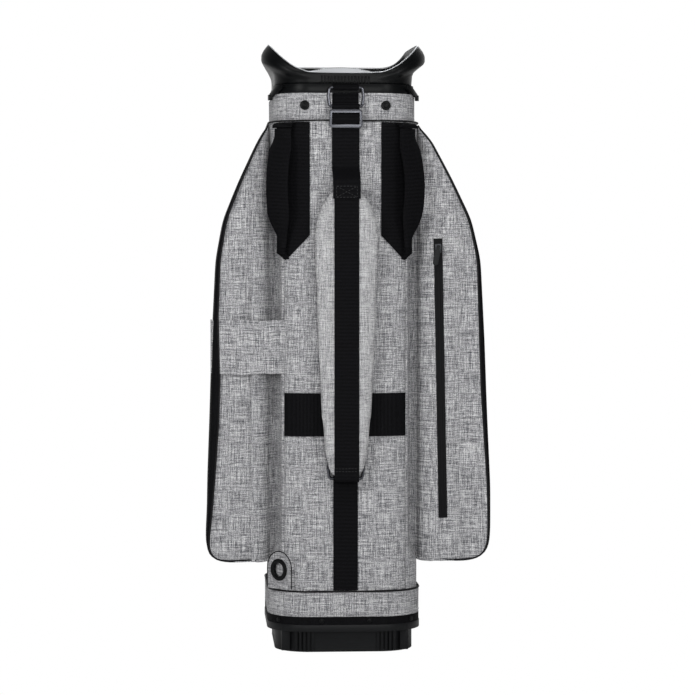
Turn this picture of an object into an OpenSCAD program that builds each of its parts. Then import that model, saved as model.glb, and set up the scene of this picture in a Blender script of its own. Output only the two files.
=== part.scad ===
// Golf bag of the cart kind: an upright fabric body on a moulded base, a fourteen-way
// divider top in a moulded collar, two tall side pockets, two front pockets, a shoulder
// strap on the spine and two lift handles.
// X runs across the bag, -Y is the spine that carries the strap and +Z is up.
// The origin is the middle of the base's underside.

/* [Body] */
// Width of the fabric body across its side panels
body_w = 220; // [190:1:264]
// Depth of the fabric body from the spine to the front
body_d = 250; // [210:1:300]
// Radius of the body's upright corners
corner_r = 60; // [50:1:66]
// Height of the body panels between the hem piping and the cuff
body_h = 688; // [640:1:826]
// Thickness of a body panel with its foam
panel_t = 2; // [1.5:0.1:3]
// Distance from the body's side in to the seams beside the spine panel
seam_in = 20; // [12:1:26]

/* [Base] */
// Height of the moulded base
base_h = 41; // [34:1:50]
// Height of the base's narrow foot below its step
foot_h = 34; // [28:1:36]
// How far the foot stands in from the body's side
foot_in = 8; // [6:0.5:14]
// Wall and floor thickness of the base
base_wall = 3; // [2:0.1:3.6]
// Thickness of the foam pad on the base's floor
base_pad_t = 5; // [3:0.5:8]
// Number of grip ribs in each group on the base
base_ribs = 5; // [3:1:7]

/* [Trim and hem] */
// Height of the black trim band over the base
trim_h = 12; // [8:1:16]
// Height of the fabric hem band over the trim
hem_h = 37; // [30:1:45]
// Thickness of the hem band and of the trim band
hem_t = 2.5; // [1.5:0.1:4]
// Diameter of the piping cord
piping_d = 3; // [2:0.1:4]

/* [Collar] */
// Height of the fabric cuff under the collar
cuff_h = 39; // [32:1:47]
// Height of the collar's lower band
band_h = 13.5; // [10:0.5:18]
// How far the collar's neck stands in from the body's side
neck_in = 8; // [6:0.5:10]
// Wall thickness of the collar
neck_wall = 4; // [3:0.1:5]
// Height of the rim above the band at the spine
rim_h = 13.5; // [10:0.5:18]
// Extra height of the rim at the front
front_rise = 30; // [20:1:36]
// Extra height of the two horns at the sides
horn_rise = 41; // [30:1:50]
// How far the wings flare out beyond the neck
wing_out = 20; // [14:0.5:25]
// Number of grip ribs on the spine side of the collar
rim_ribs = 15; // [9:2:17]
// Diameter of a hood stud's base
stud_d = 14; // [10:0.5:16]
// Distance between two hood studs
stud_gap = 118; // [90:1:118]

/* [Dividers] */
// Thickness of a padded divider bar
bar_t = 10; // [6:0.5:12]
// Thickness of a full-length divider wall
wall_t = 1.6; // [1:0.1:2.5]
// Distance between the outer divider bars and the middle one
row_gap = 57; // [46:1:58]
// Distance from the middle to the partitions of the outer rows
outer_split = 33.5; // [28:0.5:38]
// Distance from the middle to the partitions of the inner rows
inner_split = 50; // [42:0.5:54]
// Crown of the middle bar above the rim at the spine
dome_rise = 21; // [12:1:26]

/* [Strap] */
// Width of the strap's upper webbing
strap_w = 40; // [32:1:46]
// Width of the webbing over the pad and down the spine
web_w = 36; // [30:1:38]
// Thickness of one layer of webbing
web_t = 1.8; // [1.2:0.1:2.4]
// Greatest width of the shoulder pad
pad_w = 108; // [90:1:124]
// Length of the shoulder pad
pad_l = 430; // [380:1:460]
// Thickness of the shoulder pad
pad_t = 18; // [12:0.5:22]
// Height of the pad's top end below the cuff
pad_drop = 94; // [84:1:110]
// Radius of the strap rings' wire
wire_r = 2.3; // [1.8:0.1:2.6]
// Distance between the centres of a strap ring's two bars
ring_l = 27; // [24:0.5:33]
// Bulge of a strap ring's sides
ring_bulge = 1.5; // [0.5:0.5:3]
// Bending radius of a strap ring's corners
ring_corner = 4; // [3:0.5:6]
// Height of the cross webbing behind the pad
cross_h = 63; // [40:1:70]

/* [Buckle] */
// Width of the slide buckle
buckle_w = 48; // [44:1:54]
// Height of the slide buckle
buckle_h = 27; // [24:1:32]
// Thickness of the slide buckle's frame
buckle_t = 4; // [3:0.5:5]

/* [Handles] */
// Distance between the two anchors of a handle
handle_l = 176; // [150:1:200]
// How far a handle bows out from its anchors
handle_bow = 20; // [16:1:28]
// Width of a handle's webbing
handle_w = 40; // [32:1:46]
// Thickness of a handle's doubled webbing
handle_t = 3.2; // [2:0.1:4]
// Angle by which the handles face outwards
handle_turn = 36; // [30:1:42]

/* [Side pockets] */
// How far the left pocket stands out from the body
left_out = 90; // [75:1:108]
// How far the right pocket stands out from the body
right_out = 107; // [89:1:120]
// Height of the side pockets' bottom over the hem piping
pocket_up = 42; // [30:1:60]
// Distance of the side pockets' near face from the bag's middle
pocket_near = 96; // [86:1:102]
// Distance of the side pockets' far face from the bag's middle
pocket_far = 62; // [50:1:64]
// Thickness of the pockets' fabric
pocket_t = 2; // [1.2:0.1:3]
// Thickness of the black gusset on the pockets' outer side
gusset_t = 1.5; // [1:0.1:2.5]
// Height of the umbrella band
umbrella_h = 78; // [60:1:90]
// Distance of the umbrella band's top edge below the handle anchors
umbrella_drop = 88; // [74:1:105]
// Radius of the umbrella eyelet's hole
eyelet_r = 10; // [8:0.5:12]
// Width of the umbrella tab
tab_w = 50; // [42:1:60]

/* [Front pockets] */
// Width of the ball pocket
ball_w = 170; // [140:1:180]
// Height of the ball pocket
ball_h = 270; // [225:1:324]
// Depth of the ball pocket
ball_t = 48; // [36:1:60]
// Width of the upper front pocket
upper_w = 150; // [120:1:170]
// Height of the upper front pocket
upper_h = 210; // [175:1:252]
// Depth of the upper front pocket
upper_t = 34; // [26:1:44]

/* [Zips] */
// Width of a zip's tape
tape_w = 13; // [10:0.5:16]
// Width of a zip's coil
coil_w = 4; // [3:0.5:5]
// Length of the right side pocket's zip
side_zip_l = 412; // [340:1:440]
// Length of a zip puller
puller_l = 26; // [18:1:32]

/* [Hidden] */

// Smoothness of round shapes, and of the small ones
$fn = 72;
fine_fn = 40;
// A little more than a cut's own depth, so that cuts run through
over = 1;
// Clearance between nested layers that don't move
snug = 0.2;
// Clearance between pieces that move on each other
free = 0.3;

half_w = body_w / 2;
half_d = body_d / 2;
z_trim = base_h;
z_hem = z_trim + trim_h;
z_body = z_hem + hem_h;
z_cuff = z_body + body_h;
z_band = z_cuff + cuff_h;
z_collar = z_band + band_h;
z_rim = z_collar + rim_h;
seam_x = half_w - seam_in;
cuff_in = 4;
cuff_y = half_d - cuff_in;
neck_w = half_w - neck_in;
neck_d = half_d - neck_in;
neck_r = corner_r - neck_in;
z_floor = base_wall + base_pad_t;
stud_drop = 18;
rib_out = foot_in / 2;

// The strap hangs in a plane clear of the cuff and of the spine webbing
loop_r = wire_r + free + web_t;
strap_y = -(half_d + web_t + 1 + loop_r);
z_top_ring = z_band + 7;
z_top_bar = z_top_ring - ring_l;
pad_top = z_cuff - pad_drop;
pad_bottom = pad_top - pad_l;
pad_back = strap_y - loop_r - 0.5;
pad_front = pad_back - pad_t;
z_low_bar = pad_bottom + 2;
z_cross = pad_bottom + 63;
z_low_ring = z_low_bar + ring_l;
keeper_w = strap_w - 2;
strip_back = strap_y + loop_r;
strip_front = strip_back - 2 * web_t;
ring_bar = strap_w + 2 * free;

buckle_bar_r = 1.6;
fold_r = buckle_bar_r + snug + web_t;
buckle_y = strip_front - free - fold_r;
buckle_top = z_top_bar - loop_r - free;
buckle_side = (buckle_w - strap_w) / 2;

handle_off = 7;
handle_top = z_cuff - 12;
handle_bottom = handle_top - handle_l;
anchor_low = handle_bottom - 16;
z_umbrella = anchor_low - umbrella_drop - umbrella_h;
barrel_r = 4;
barrel_h = 12;

z_pocket = z_body + pocket_up;
side_zip_top = z_cuff - 172;
side_zip_in = 79;
zip_lean = 1.1;
tape_t = 1;
coil_t = 1.4;
slider_w = 9;
slider_l = 13;
slider_t = 3.6;
pin_r = 0.9;
puller_w = 8;
puller_t = 1.8;
puller_lean = 12;
z_ball = z_pocket;
// The upper pocket stands in the space over the ball pocket, nearer to its low end
front_gap_low = 60;
front_gap_high = 106;
front_room = z_cuff - z_ball - ball_h - upper_h;
z_upper = z_ball + ball_h + front_room * front_gap_low / (front_gap_low + front_gap_high);
front_zip_in = 26;
front_zip_end = 24;

// ---------- shared shapes ----------

// Rounded rectangle made of two squares and four circles
module rounded(w, d, r) {
    square([w - 2 * r, d], center = true);
    square([w, d - 2 * r], center = true);
    for (x = [-1, 1], y = [-1, 1])
        translate([x * (w / 2 - r), y * (d / 2 - r)]) circle(r);
}

// Upright wall that follows the body's plan: out is how far its face stands out from the body
module plan_wall(out, t, z, h) {
    translate([0, 0, z]) linear_extrude(h) difference() {
        rounded(body_w + 2 * out, body_d + 2 * out, corner_r + out);
        rounded(body_w + 2 * (out - t), body_d + 2 * (out - t), corner_r + out - t);
    }
}

// Box from one corner to the opposite one
module span(a, b) {
    translate(a) cube(b - a);
}

// Bar along X, centred on X
module bar_x(r, l, y, z) {
    translate([0, y, z]) rotate([0, 90, 0]) cylinder(r = r, h = l, center = true, $fn = fine_fn);
}

// Side view drawn in Y and Z, made into a piece of width w along X
module across(w) {
    rotate([90, 0, 90]) linear_extrude(w, center = true) children();
}

// Places children on a spine corner of the body, with -Y as their way out
module at_corner(side, turn, off) {
    translate([side * (half_w - corner_r), -(half_d - corner_r), 0])
        rotate([0, 0, side * turn]) translate([0, -(corner_r + off), 0]) children();
}

// Places children at x on the spine face or on its corner, with -Y as their way out
module on_face(x, off) {
    beyond = abs(x) - half_w + corner_r;
    if (beyond <= 0)
        translate([x, -(half_d + off), 0]) children();
    else
        at_corner(sign(x), asin(beyond / (corner_r + off)), off) children();
}

// ---------- base ----------

// A moulded cup: narrow foot, step, wide rim and groups of grip ribs
module base_cup() {
    foot_w = body_w - 2 * foot_in;
    foot_d = body_d - 2 * foot_in;
    foot_r = corner_r - foot_in;
    lip = base_wall + snug;
    rib_pitch = 6;
    rib_w = 3.4;
    group_x = 60;
    block_x = foot_w / 2 - 15;
    block_w = 12;
    block_d = 22;
    block_in = 16;
    color("#17181a") difference() {
        union() {
            linear_extrude(foot_h) rounded(foot_w, foot_d, foot_r);
            translate([0, 0, foot_h - base_wall]) linear_extrude(base_h - foot_h + base_wall)
                rounded(body_w + 2 * lip, body_d + 2 * lip, corner_r + lip);
            for (y = [-1, 1], x = [-1, 1]) {
                for (i = [0:base_ribs - 1])
                    base_block(x * group_x + (i - (base_ribs - 1) / 2) * rib_pitch,
                        y * (foot_d / 2 + rib_out / 2 - over / 2), rib_w, rib_out + over);
                base_block(x * block_x, y * (foot_d / 2 - block_in), block_w, block_d);
            }
        }
        translate([0, 0, base_wall]) linear_extrude(foot_h)
            rounded(foot_w - 2 * base_wall, foot_d - 2 * base_wall, foot_r - base_wall);
        translate([0, 0, foot_h]) linear_extrude(base_h)
            rounded(body_w + 2 * snug, body_d + 2 * snug, corner_r + snug);
    }
}

// Upright block on the foot's face, from just over the floor up to the step
module base_block(x, y, w, d) {
    rise = 2;
    translate([x - w / 2, y - d / 2, rise]) cube([w, d, foot_h - rise]);
}

module base_pad() {
    in = foot_in + base_wall + snug;
    color("#3a3b3d") translate([0, 0, base_wall]) linear_extrude(base_pad_t)
        rounded(body_w - 2 * in, body_d - 2 * in, corner_r - in);
}

module base_trim_band() {
    color("#1b1b1d") plan_wall(hem_t + snug, hem_t, z_trim, trim_h);
}

// Small studs that pin the trim band
module base_rivets() {
    rivet_r = 3.5;
    rivet_t = 1.6;
    side_in = 13;
    mid_x = 35;
    color("#26272a") for (x = [-half_w + side_in, -mid_x, mid_x, half_w - side_in], y = [0, 1])
        mirror([0, y, 0]) on_face(x, hem_t + snug) translate([0, 0, z_trim + trim_h / 2])
            rotate([90, 0, 0]) cylinder(r = rivet_r, h = rivet_t, $fn = fine_fn);
}

module hem_band() {
    color("#a9aaac") plan_wall(hem_t + snug, hem_t, z_hem, hem_h - piping_d / 2);
}

module hem_piping() {
    color("#1d1d1f") plan_wall(hem_t + snug + 1, hem_t + 1, z_body - piping_d / 2, piping_d);
}

// ---------- body panels ----------

module body_wall() {
    z = foot_h + snug;
    plan_wall(0, panel_t, z, z_cuff - z);
}

module spine_panel() {
    color("#a9aaac") intersection() {
        body_wall();
        span([-seam_x, -half_d - over, 0], [seam_x, -half_d + corner_r, z_cuff]);
    }
}

module front_panel() {
    color("#a9aaac") intersection() {
        body_wall();
        span([-seam_x, half_d - corner_r, 0], [seam_x, half_d + over, z_cuff]);
    }
}

module side_panel(side) {
    color("#a3a4a6") intersection() {
        body_wall();
        translate([side * (seam_x + half_w / 2), 0, z_cuff / 2])
            cube([half_w, body_d + over, z_cuff], center = true);
    }
}

module left_side_panel() { side_panel(-1); }
module right_side_panel() { side_panel(1); }

module cuff_band() {
    color("#a9aaac") plan_wall(-cuff_in, panel_t, z_cuff, cuff_h);
}

module cuff_piping() {
    color("#1d1d1f") plan_wall(snug + piping_d / 2, piping_d / 2, z_cuff - piping_d, piping_d);
}

// ---------- collar ----------

// Moulded band whose skirt stands inside the cuff
module collar_band() {
    skirt_out = -(cuff_in + panel_t + snug);
    skirt_h = 22;
    color("#1c1d1f") {
        plan_wall(-neck_in + 2, neck_wall + 2, z_band, band_h);
        plan_wall(skirt_out, neck_wall + neck_in - cuff_in - panel_t - snug, z_band - skirt_h, skirt_h);
    }
}

corner_steps = 11;
// Plan of the neck: corner arcs joined by straight sides, each point with its way out
function plan_points() = [for (c = [0:3], i = [0:corner_steps])
    let (a = 90 * c + 90 * i / corner_steps,
         sx = (c == 0 || c == 3) ? 1 : -1,
         sy = c < 2 ? 1 : -1)
    [sx * (neck_w - neck_r) + neck_r * cos(a), sy * (neck_d - neck_r) + neck_r * sin(a),
     cos(a), sin(a)]];
// Share of the full wing at a point of the plan, 0 at the spine and the front, 1 at the sides
function wing_share(x) = pow(max(0, (abs(x) - neck_w + neck_r) / neck_r), 1.5);
// Share of a horn's height at depth y: full up to the middle, then falling towards the front
function horn_share(y) = y < 0 ? 1 : max(0, 1 - 0.33 * pow(y / (neck_d - neck_r), 2));
// Flare of the rim at a point of the plan, which falls with the horn
function flare(x, y) = wing_out * wing_share(x) * pow(horn_share(y), 2);
// Height of the rim over a point of the plan
function rim_top(x, y) = z_rim + horn_rise * pow(abs(x) / neck_w, 4) * horn_share(y)
    + front_rise * (y + neck_d) / (2 * neck_d);
// Outer profile: share of the height and share of the flare, from the neck up to the rim
wing_profile = [[0, 0], [0.28, 0], [0.36, 0.16], [0.46, 0.55], [0.56, 0.94], [0.64, 1], [0.78, 0.97], [0.9, 0.74],
    [0.95, 0.62], [1, 0.5]];
wing_steps = len(wing_profile);
// Closed section at a plan point: up the outside, over the rim and down the inside
function rim_section(p) = let (u = flare(p[0], p[1]), h = rim_top(p[0], p[1]) - z_collar)
    [for (k = [0:2 * wing_steps - 1])
        let (up = k < wing_steps,
             q = wing_profile[up ? k : 2 * wing_steps - 1 - k],
             o = u * q[1] - (up ? 0 : neck_wall * (q[0] > 0.95 ? 0.75 : 1)))
        [p[0] + o * p[2], p[1] + o * p[3], z_collar + h * q[0]]];

// Skin of a closed ring of sections that all have the same number of points
module ring_skin(sections) {
    n = len(sections);
    m = len(sections[0]);
    polyhedron(points = [for (s = sections) each s],
        faces = [for (i = [0:n - 1], k = [0:m - 1])
            let (j = (i + 1) % n, l = (k + 1) % m)
            each [[i * m + k, i * m + l, j * m + l], [i * m + k, j * m + l, j * m + k]]]);
}

// Saddle-shaped rim with a flared wing at each side to lift the bag by
module collar_top() {
    color("#202124") ring_skin([for (p = plan_points()) rim_section(p)]);
}

// Thin light trim on the rim's edge
module collar_lip() {
    lip_h = 1.5;
    color("#b9bbbe") ring_skin([for (p = plan_points())
        let (o = flare(p[0], p[1]) * wing_profile[wing_steps - 1][1], z = rim_top(p[0], p[1]))
        [for (c = [[-0.4, snug], [-0.4, lip_h], [-2.6, lip_h], [-2.6, snug]])
            [p[0] + (o + c[0]) * p[2], p[1] + (o + c[0]) * p[3], z + c[1]]]]);
}

// Upright ribs on the spine side of the collar
module collar_ribs() {
    pitch = 4.9;
    rib_w = 2.6;
    rib_t = 2.4;
    color("#1a1b1d") for (i = [0:rim_ribs - 1])
        translate([(i - (rim_ribs - 1) / 2) * pitch - rib_w / 2, -neck_d - rib_t, z_collar])
            cube([rib_w, rib_t, rim_h - 2]);
}

// Hooked tabs on the two spine corners that hold the rain hood's hem
module collar_clips() {
    strap_size = [9, 3, 5];
    hook_size = [8, 5, 8];
    out = snug - cuff_in;
    color("#151517") for (side = [-1, 1]) {
        hull() {
            at_corner(side, 48, out + 2.6) translate([0, 0, z_collar - 3]) cube(strap_size, center = true);
            at_corner(side, 72, out + 3.2) translate([0, 0, z_band - 1]) cube(strap_size, center = true);
        }
        at_corner(side, 76, out + 3.8) translate([0, 0, z_band - 4]) cube(hook_size, center = true);
    }
}

// Snap studs for the rain hood, two at the spine and two at the front
module hood_studs() {
    stud_t = 2.5;
    post_r = 3.5;
    post_t = 4.5;
    z = z_band - stud_drop;
    color("#1a1a1c") for (x = [-1, 1], y = [0, 1])
        mirror([0, y, 0]) on_face(x * stud_gap / 2, -cuff_in) translate([0, 0, z])
            rotate([90, 0, 0]) {
                cylinder(r = stud_d / 2, h = stud_t, $fn = fine_fn);
                cylinder(r = post_r, h = post_t, $fn = fine_fn);
            }
}

// ---------- dividers and stays ----------

row_y = [-row_gap, 0, row_gap];
inside_w = neck_w - neck_wall - snug;
inside_d = neck_d - neck_wall - snug;
bar_low = z_collar - 2;
// Half width that is open inside a plan with corner radius r at distance y from its middle
function open_half(w, d, r, y) = abs(y) <= d - r ? w
    : w - r + sqrt(max(0, pow(r, 2) - pow(abs(y) - d + r, 2)));
// Crown of each cross bar over the bars' low edge
row_crown = [z_rim - bar_low - 4, z_rim - bar_low + dome_rise, z_rim - bar_low + 6];

// Padded bars across the mouth, arched towards their middle
module divider_cross_bars() {
    color("#c4c6c9") for (i = [0:2]) {
        half = open_half(inside_w, inside_d, neck_r - neck_wall, row_y[i]) - 1;
        crown = row_crown[i];
        edge = 8;
        arc_r = (pow(half, 2) + pow(crown - edge, 2)) / (2 * (crown - edge));
        translate([0, row_y[i], bar_low]) rotate([90, 0, 0]) linear_extrude(bar_t, center = true)
            intersection() {
                translate([-half, 0]) square([2 * half, crown]);
                translate([0, crown - arc_r]) circle(arc_r, $fn = 180);
            }
    }
}

// Places one child between each pair of neighbouring wells in all four rows
module in_rows(clear, low, h, t, in_d) {
    for (side = [-1, 1]) {
        for (x = [-outer_split, outer_split])
            span_y(x, side, row_gap + clear, in_d, low, h, t);
        for (x = [-inner_split, 0, inner_split])
            span_y(x, side, clear, row_gap - clear, low, h, t);
    }
}

// Upright plate of thickness t at x, from y0 to y1 on the given side
module span_y(x, side, y0, y1, low, h, t) {
    translate([x - t / 2, side > 0 ? y0 : -y1, low]) cube([t, y1 - y0, h]);
}

module divider_short_bars() {
    color("#26272a") in_rows(bar_t / 2 + snug, bar_low, 10, bar_t - 2, inside_d - 1);
}

module divider_cross_walls() {
    color("#3b3c3f") for (y = row_y) {
        half = open_half(half_w - panel_t - snug, half_d - panel_t - snug, corner_r - panel_t, y) - 3;
        foot = open_half(half_w - foot_in - base_wall, half_d - foot_in - base_wall,
            corner_r - foot_in - base_wall, y) - 1;
        skirt = open_half(inside_w, inside_d, neck_r - neck_wall, y) - 1;
        translate([-foot, y - wall_t / 2, z_floor]) cube([2 * foot, wall_t, z_cuff - z_floor]);
        translate([-skirt, y - wall_t / 2, z_cuff]) cube([2 * skirt, wall_t, bar_low - z_cuff - snug]);
    }
}

module divider_short_walls() {
    color("#3b3c3f") in_rows(wall_t / 2 + snug, z_floor, bar_low - z_floor - snug, wall_t,
        min(inside_d, half_d - foot_in - base_wall) - 1);
}

// Flat springy stays that hold the body upright between the base and the collar
module stay_rods() {
    stay_w = 14;
    stay_t = 2.6;
    z = foot_h + snug;
    x = half_w - panel_t - snug - stay_t / 2;
    color("#caccce") for (s = [-1, 1], y = [-row_gap / 2, row_gap / 2])
        translate([s * x - stay_t / 2, y - stay_w / 2, z]) cube([stay_t, stay_w, z_cuff - z - 2]);
}

// ---------- webbing on the spine ----------

// Webbing laid on the spine face between two half widths
module spine_strip(x0, x1, z0, z1) {
    intersection() {
        plan_wall(web_t, web_t, z0, z1 - z0);
        span([x0, -half_d - 2 * web_t, z0], [x1, -half_d + corner_r, z1]);
    }
}

// Backing of webbing on the cuff behind the top ring
module ring_backing() {
    backing_h = 30;
    color("#141415") intersection() {
        plan_wall(snug + web_t - cuff_in, web_t, z_band - backing_h, backing_h - snug);
        span([-keeper_w / 2, -half_d - over, z_cuff], [keeper_w / 2, -half_d + corner_r, z_band]);
    }
}

module cross_webbing() {
    color("#141415") spine_strip(-seam_x + 2, seam_x - 2, z_cross, z_cross + cross_h);
}

module spine_webbing() {
    color("#141415") spine_strip(-web_w / 2, web_w / 2, z_body + piping_d / 2 + snug,
        z_low_ring - loop_r - 1);
}

// Loop of webbing that holds a strap ring, with its sewn tail
module ring_keeper(z, face_y, tail_h) {
    tail = face_y - web_t;
    difference() {
        union() {
            bar_x(loop_r, keeper_w, strap_y, z);
            span([-keeper_w / 2, strap_y, z], [keeper_w / 2, face_y, z + loop_r]);
            span([-keeper_w / 2, tail, z], [keeper_w / 2, face_y, z + tail_h]);
        }
        bar_x(loop_r - web_t, keeper_w + 2 * over, strap_y, z);
    }
}

module top_ring_keeper() {
    color("#141415") ring_keeper(z_top_ring, -(half_d - neck_in + 2), z_collar - 0.5 - z_top_ring);
}

module lower_ring_keeper() {
    color("#141415") ring_keeper(z_low_ring, -half_d, z_cross - z_low_ring - 1);
}

// Sections round a ring of wire: rounded corners, straight bars and slightly bowed sides
ring_sides = 12;
ring_steps = 4;
function ring_section(x, z, a) = [for (k = [0:ring_sides - 1])
    let (b = 360 * k / ring_sides, r = wire_r * cos(b))
    [x + r * cos(a), wire_r * sin(b), z + r * sin(a)]];
function ring_side(s) = [ring_section(s * (ring_bar / 2 + ring_corner + ring_bulge), 0, s > 0 ? 0 : 180)];
function ring_turn(c) = [for (i = [0:ring_steps])
    let (a = 90 * c + 90 * i / ring_steps,
         sx = (c == 0 || c == 3) ? 1 : -1,
         sz = c < 2 ? 1 : -1)
    ring_section(sx * ring_bar / 2 + ring_corner * cos(a),
        sz * (ring_l / 2 - ring_corner) + ring_corner * sin(a), a)];

// Ring of wire that hangs from its upper bar
module wire_ring(z) {
    translate([0, strap_y, z - ring_l / 2])
        ring_skin(concat(ring_side(1), ring_turn(0), ring_turn(1), ring_side(-1), ring_turn(2),
            ring_turn(3)));
}

module top_ring() { color("#2c2d30") wire_ring(z_top_ring); }
module lower_ring() { color("#2c2d30") wire_ring(z_low_ring); }

// ---------- strap ----------

// Upper webbing: loop on the ring, doubled strip, then a slope onto the pad's front
module strap_webbing() {
    bend = pad_top + 22;
    lap = pad_top - 22;
    color("#141415") difference() {
        union() {
            bar_x(loop_r, strap_w, strap_y, z_top_bar);
            across(strap_w) polygon([[strip_back, z_top_bar], [strip_front, z_top_bar],
                [strip_front, bend], [pad_front - 2 * web_t, pad_top + 2],
                [pad_front - 2 * web_t, lap], [pad_front - web_t - snug, lap],
                [pad_front - web_t - snug, pad_top], [strip_back, bend - 4]]);
        }
        bar_x(loop_r - web_t, strap_w + 2 * over, strap_y, z_top_bar);
    }
}

// Outline of the pad: share of its length from the top and share of its half width
pad_outline = [[0, 0.3], [0.02, 0.5], [0.055, 0.74], [0.105, 0.92], [0.17, 1], [0.3, 0.98],
    [0.5, 0.92], [0.73, 0.84], [0.83, 0.77], [0.92, 0.66], [0.98, 0.5], [1, 0.36]];

module shoulder_pad() {
    side = [for (p = pad_outline) [p[1] * pad_w / 2, pad_top - p[0] * pad_l]];
    n = len(side);
    other = [for (i = [n - 1:-1:0]) [-side[i][0], side[i][1]]];
    color("#b4b5b7") translate([0, pad_back, 0]) rotate([90, 0, 0]) linear_extrude(pad_t)
        polygon(concat(side, other));
}

// Webbing down the pad's front, under its end and back up to the lower ring
module pad_webbing() {
    low = pad_bottom - web_t - snug;
    front = pad_front - web_t;
    color("#141415") difference() {
        union() {
            bar_x(loop_r, web_w, strap_y, z_low_bar);
            across(web_w) polygon([[front, pad_top - 2], [pad_front, pad_top - 2],
                [pad_front, pad_bottom - snug], [strap_y, pad_bottom - snug], [strap_y, low],
                [front, low]]);
            across(web_w) polygon([[strap_y, low], [strap_y, z_low_bar - wire_r - free],
                [strap_y - loop_r, z_low_bar - wire_r - free], [strap_y - loop_r, low]]);
        }
        bar_x(loop_r - web_t, web_w + 2 * over, strap_y, z_low_bar);
    }
}

// Slide buckle: rounded frame with a middle bar
module strap_buckle() {
    z = buckle_top - buckle_h / 2;
    bar = 5;
    slot_h = (buckle_h - 2 * bar) / 2;
    color("#232427") {
        translate([0, buckle_y + buckle_t / 2, z]) rotate([90, 0, 0]) linear_extrude(buckle_t)
            difference() {
                rounded(buckle_w, buckle_h, 5);
                square([strap_w + 2 * free, buckle_h - 2 * bar], center = true);
            }
        bar_x(buckle_bar_r, strap_w + buckle_side, buckle_y, z);
    }
}

// Webbing folded round the buckle's middle bar
module buckle_fold() {
    z = buckle_top - buckle_h / 2;
    color("#141415") difference() {
        union() {
            bar_x(fold_r, strap_w - 1, buckle_y, z);
            translate([0, buckle_y, z]) cube([strap_w - 1, 2 * web_t, buckle_h - 11], center = true);
        }
        bar_x(buckle_bar_r + snug, strap_w + 2 * over, buckle_y, z);
    }
}

// ---------- handles ----------

// Patch on the spine's corner and the two sewn stubs that the handle turns between
module handle_anchors(side) {
    stub_h = 8;
    low = anchor_low;
    color("#121213") {
        intersection() {
            plan_wall(web_t, web_t, low, z_cuff - piping_d - snug - low);
            translate([0, -half_d, 0]) rotate([90, 0, 0]) linear_extrude(body_d, center = true)
                polygon([[side * (seam_x - 38), z_cuff], [side * (seam_x - 38), low + 36],
                    [side * (seam_x - 4), low], [side * (seam_x + 8), low + 10],
                    [side * (seam_x + 8), z_cuff]]);
            span([-half_w - 5, -half_d - 5, low], [half_w + 5, -half_d + corner_r, z_cuff]);
        }
        for (z = [handle_top, handle_bottom - stub_h])
            at_corner(side, handle_turn, 0) {
                translate([0, -handle_off, z]) cylinder(r = barrel_r, h = stub_h - snug, $fn = fine_fn);
                span([-barrel_r, -handle_off, z], [barrel_r, -web_t, z + stub_h - snug]);
            }
    }
}

module left_handle_anchors() { handle_anchors(-1); }
module right_handle_anchors() { handle_anchors(1); }

// Bowed webbing between two round ends that turn on the anchors
module handle(side) {
    inner_z = handle_l - 2 * free - barrel_h;
    arc_r = (pow(inner_z / 2, 2) + pow(handle_bow, 2)) / (2 * handle_bow);
    z_mid = (handle_top + handle_bottom) / 2;
    start = 5;
    color("#161617") at_corner(side, handle_turn, handle_off) {
        for (z = [handle_top - free - barrel_h, handle_bottom + free])
            translate([0, 0, z]) cylinder(r = barrel_r, h = barrel_h, $fn = fine_fn);
        translate([0, 0, z_mid]) intersection() {
            across(handle_w) translate([arc_r - handle_bow, 0]) difference() {
                circle(arc_r + handle_t / 2, $fn = 180);
                circle(arc_r - handle_t / 2, $fn = 180);
            }
            across(handle_w) translate([-handle_bow - handle_t, -handle_l / 2])
                square([handle_bow + handle_t - start + 3, handle_l]);
            rotate([90, 0, 0]) linear_extrude(handle_bow + 2 * handle_t)
                polygon([[-7, -inner_z / 2 - 3], [7, -inner_z / 2 - 3], [handle_w / 2, -inner_z / 2 + 34],
                    [handle_w / 2, inner_z / 2 - 34], [7, inner_z / 2 + 3], [-7, inner_z / 2 + 3],
                    [-handle_w / 2, inner_z / 2 - 34], [-handle_w / 2, -inner_z / 2 + 34]]);
        }
    }
}

module left_handle() { handle(-1); }
module right_handle() { handle(1); }

// ---------- side pockets ----------

// Outline of a side pocket: drop below the cuff and share of its reach
pocket_outline = [[6, 0.02], [25, 0.15], [84, 0.45], [144, 0.72], [203, 0.85], [322, 0.91],
    [440, 0.96], [540, 1]];

// Outline seen from the spine, for the pocket at the right
module pocket_side_view(reach) {
    polygon(concat([[0, z_pocket], [0, z_cuff - pocket_outline[0][0]]],
        [for (p = pocket_outline) [p[1] * reach, max(z_cuff - p[0], z_pocket + 40)]],
        [[reach, z_pocket + 26], [0.97 * reach, z_pocket + 9], [0.88 * reach, z_pocket]]));
}

// Outline seen from above, for the pocket at the right
module pocket_plan(reach) {
    bevel = 15;
    near = half_d - corner_r - 1;
    slope = 5;
    polygon([[0, -near], [slope, -pocket_near], [reach - bevel, -pocket_near],
        [reach, -pocket_near + bevel], [reach, pocket_far - bevel], [reach - bevel, pocket_far],
        [0, pocket_far]]);
}

module pocket_block(reach, in) {
    intersection() {
        rotate([90, 0, 0]) linear_extrude(body_d, center = true)
            offset(delta = -in) pocket_side_view(reach);
        linear_extrude(z_cuff) offset(delta = -in) pocket_plan(reach);
    }
}

module side_pocket(side, reach) {
    color("#adaeb0") mirror([side < 0 ? 1 : 0, 0, 0]) translate([half_w, 0, 0]) difference() {
        pocket_block(reach, 0);
        pocket_block(reach, pocket_t);
    }
}

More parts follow.
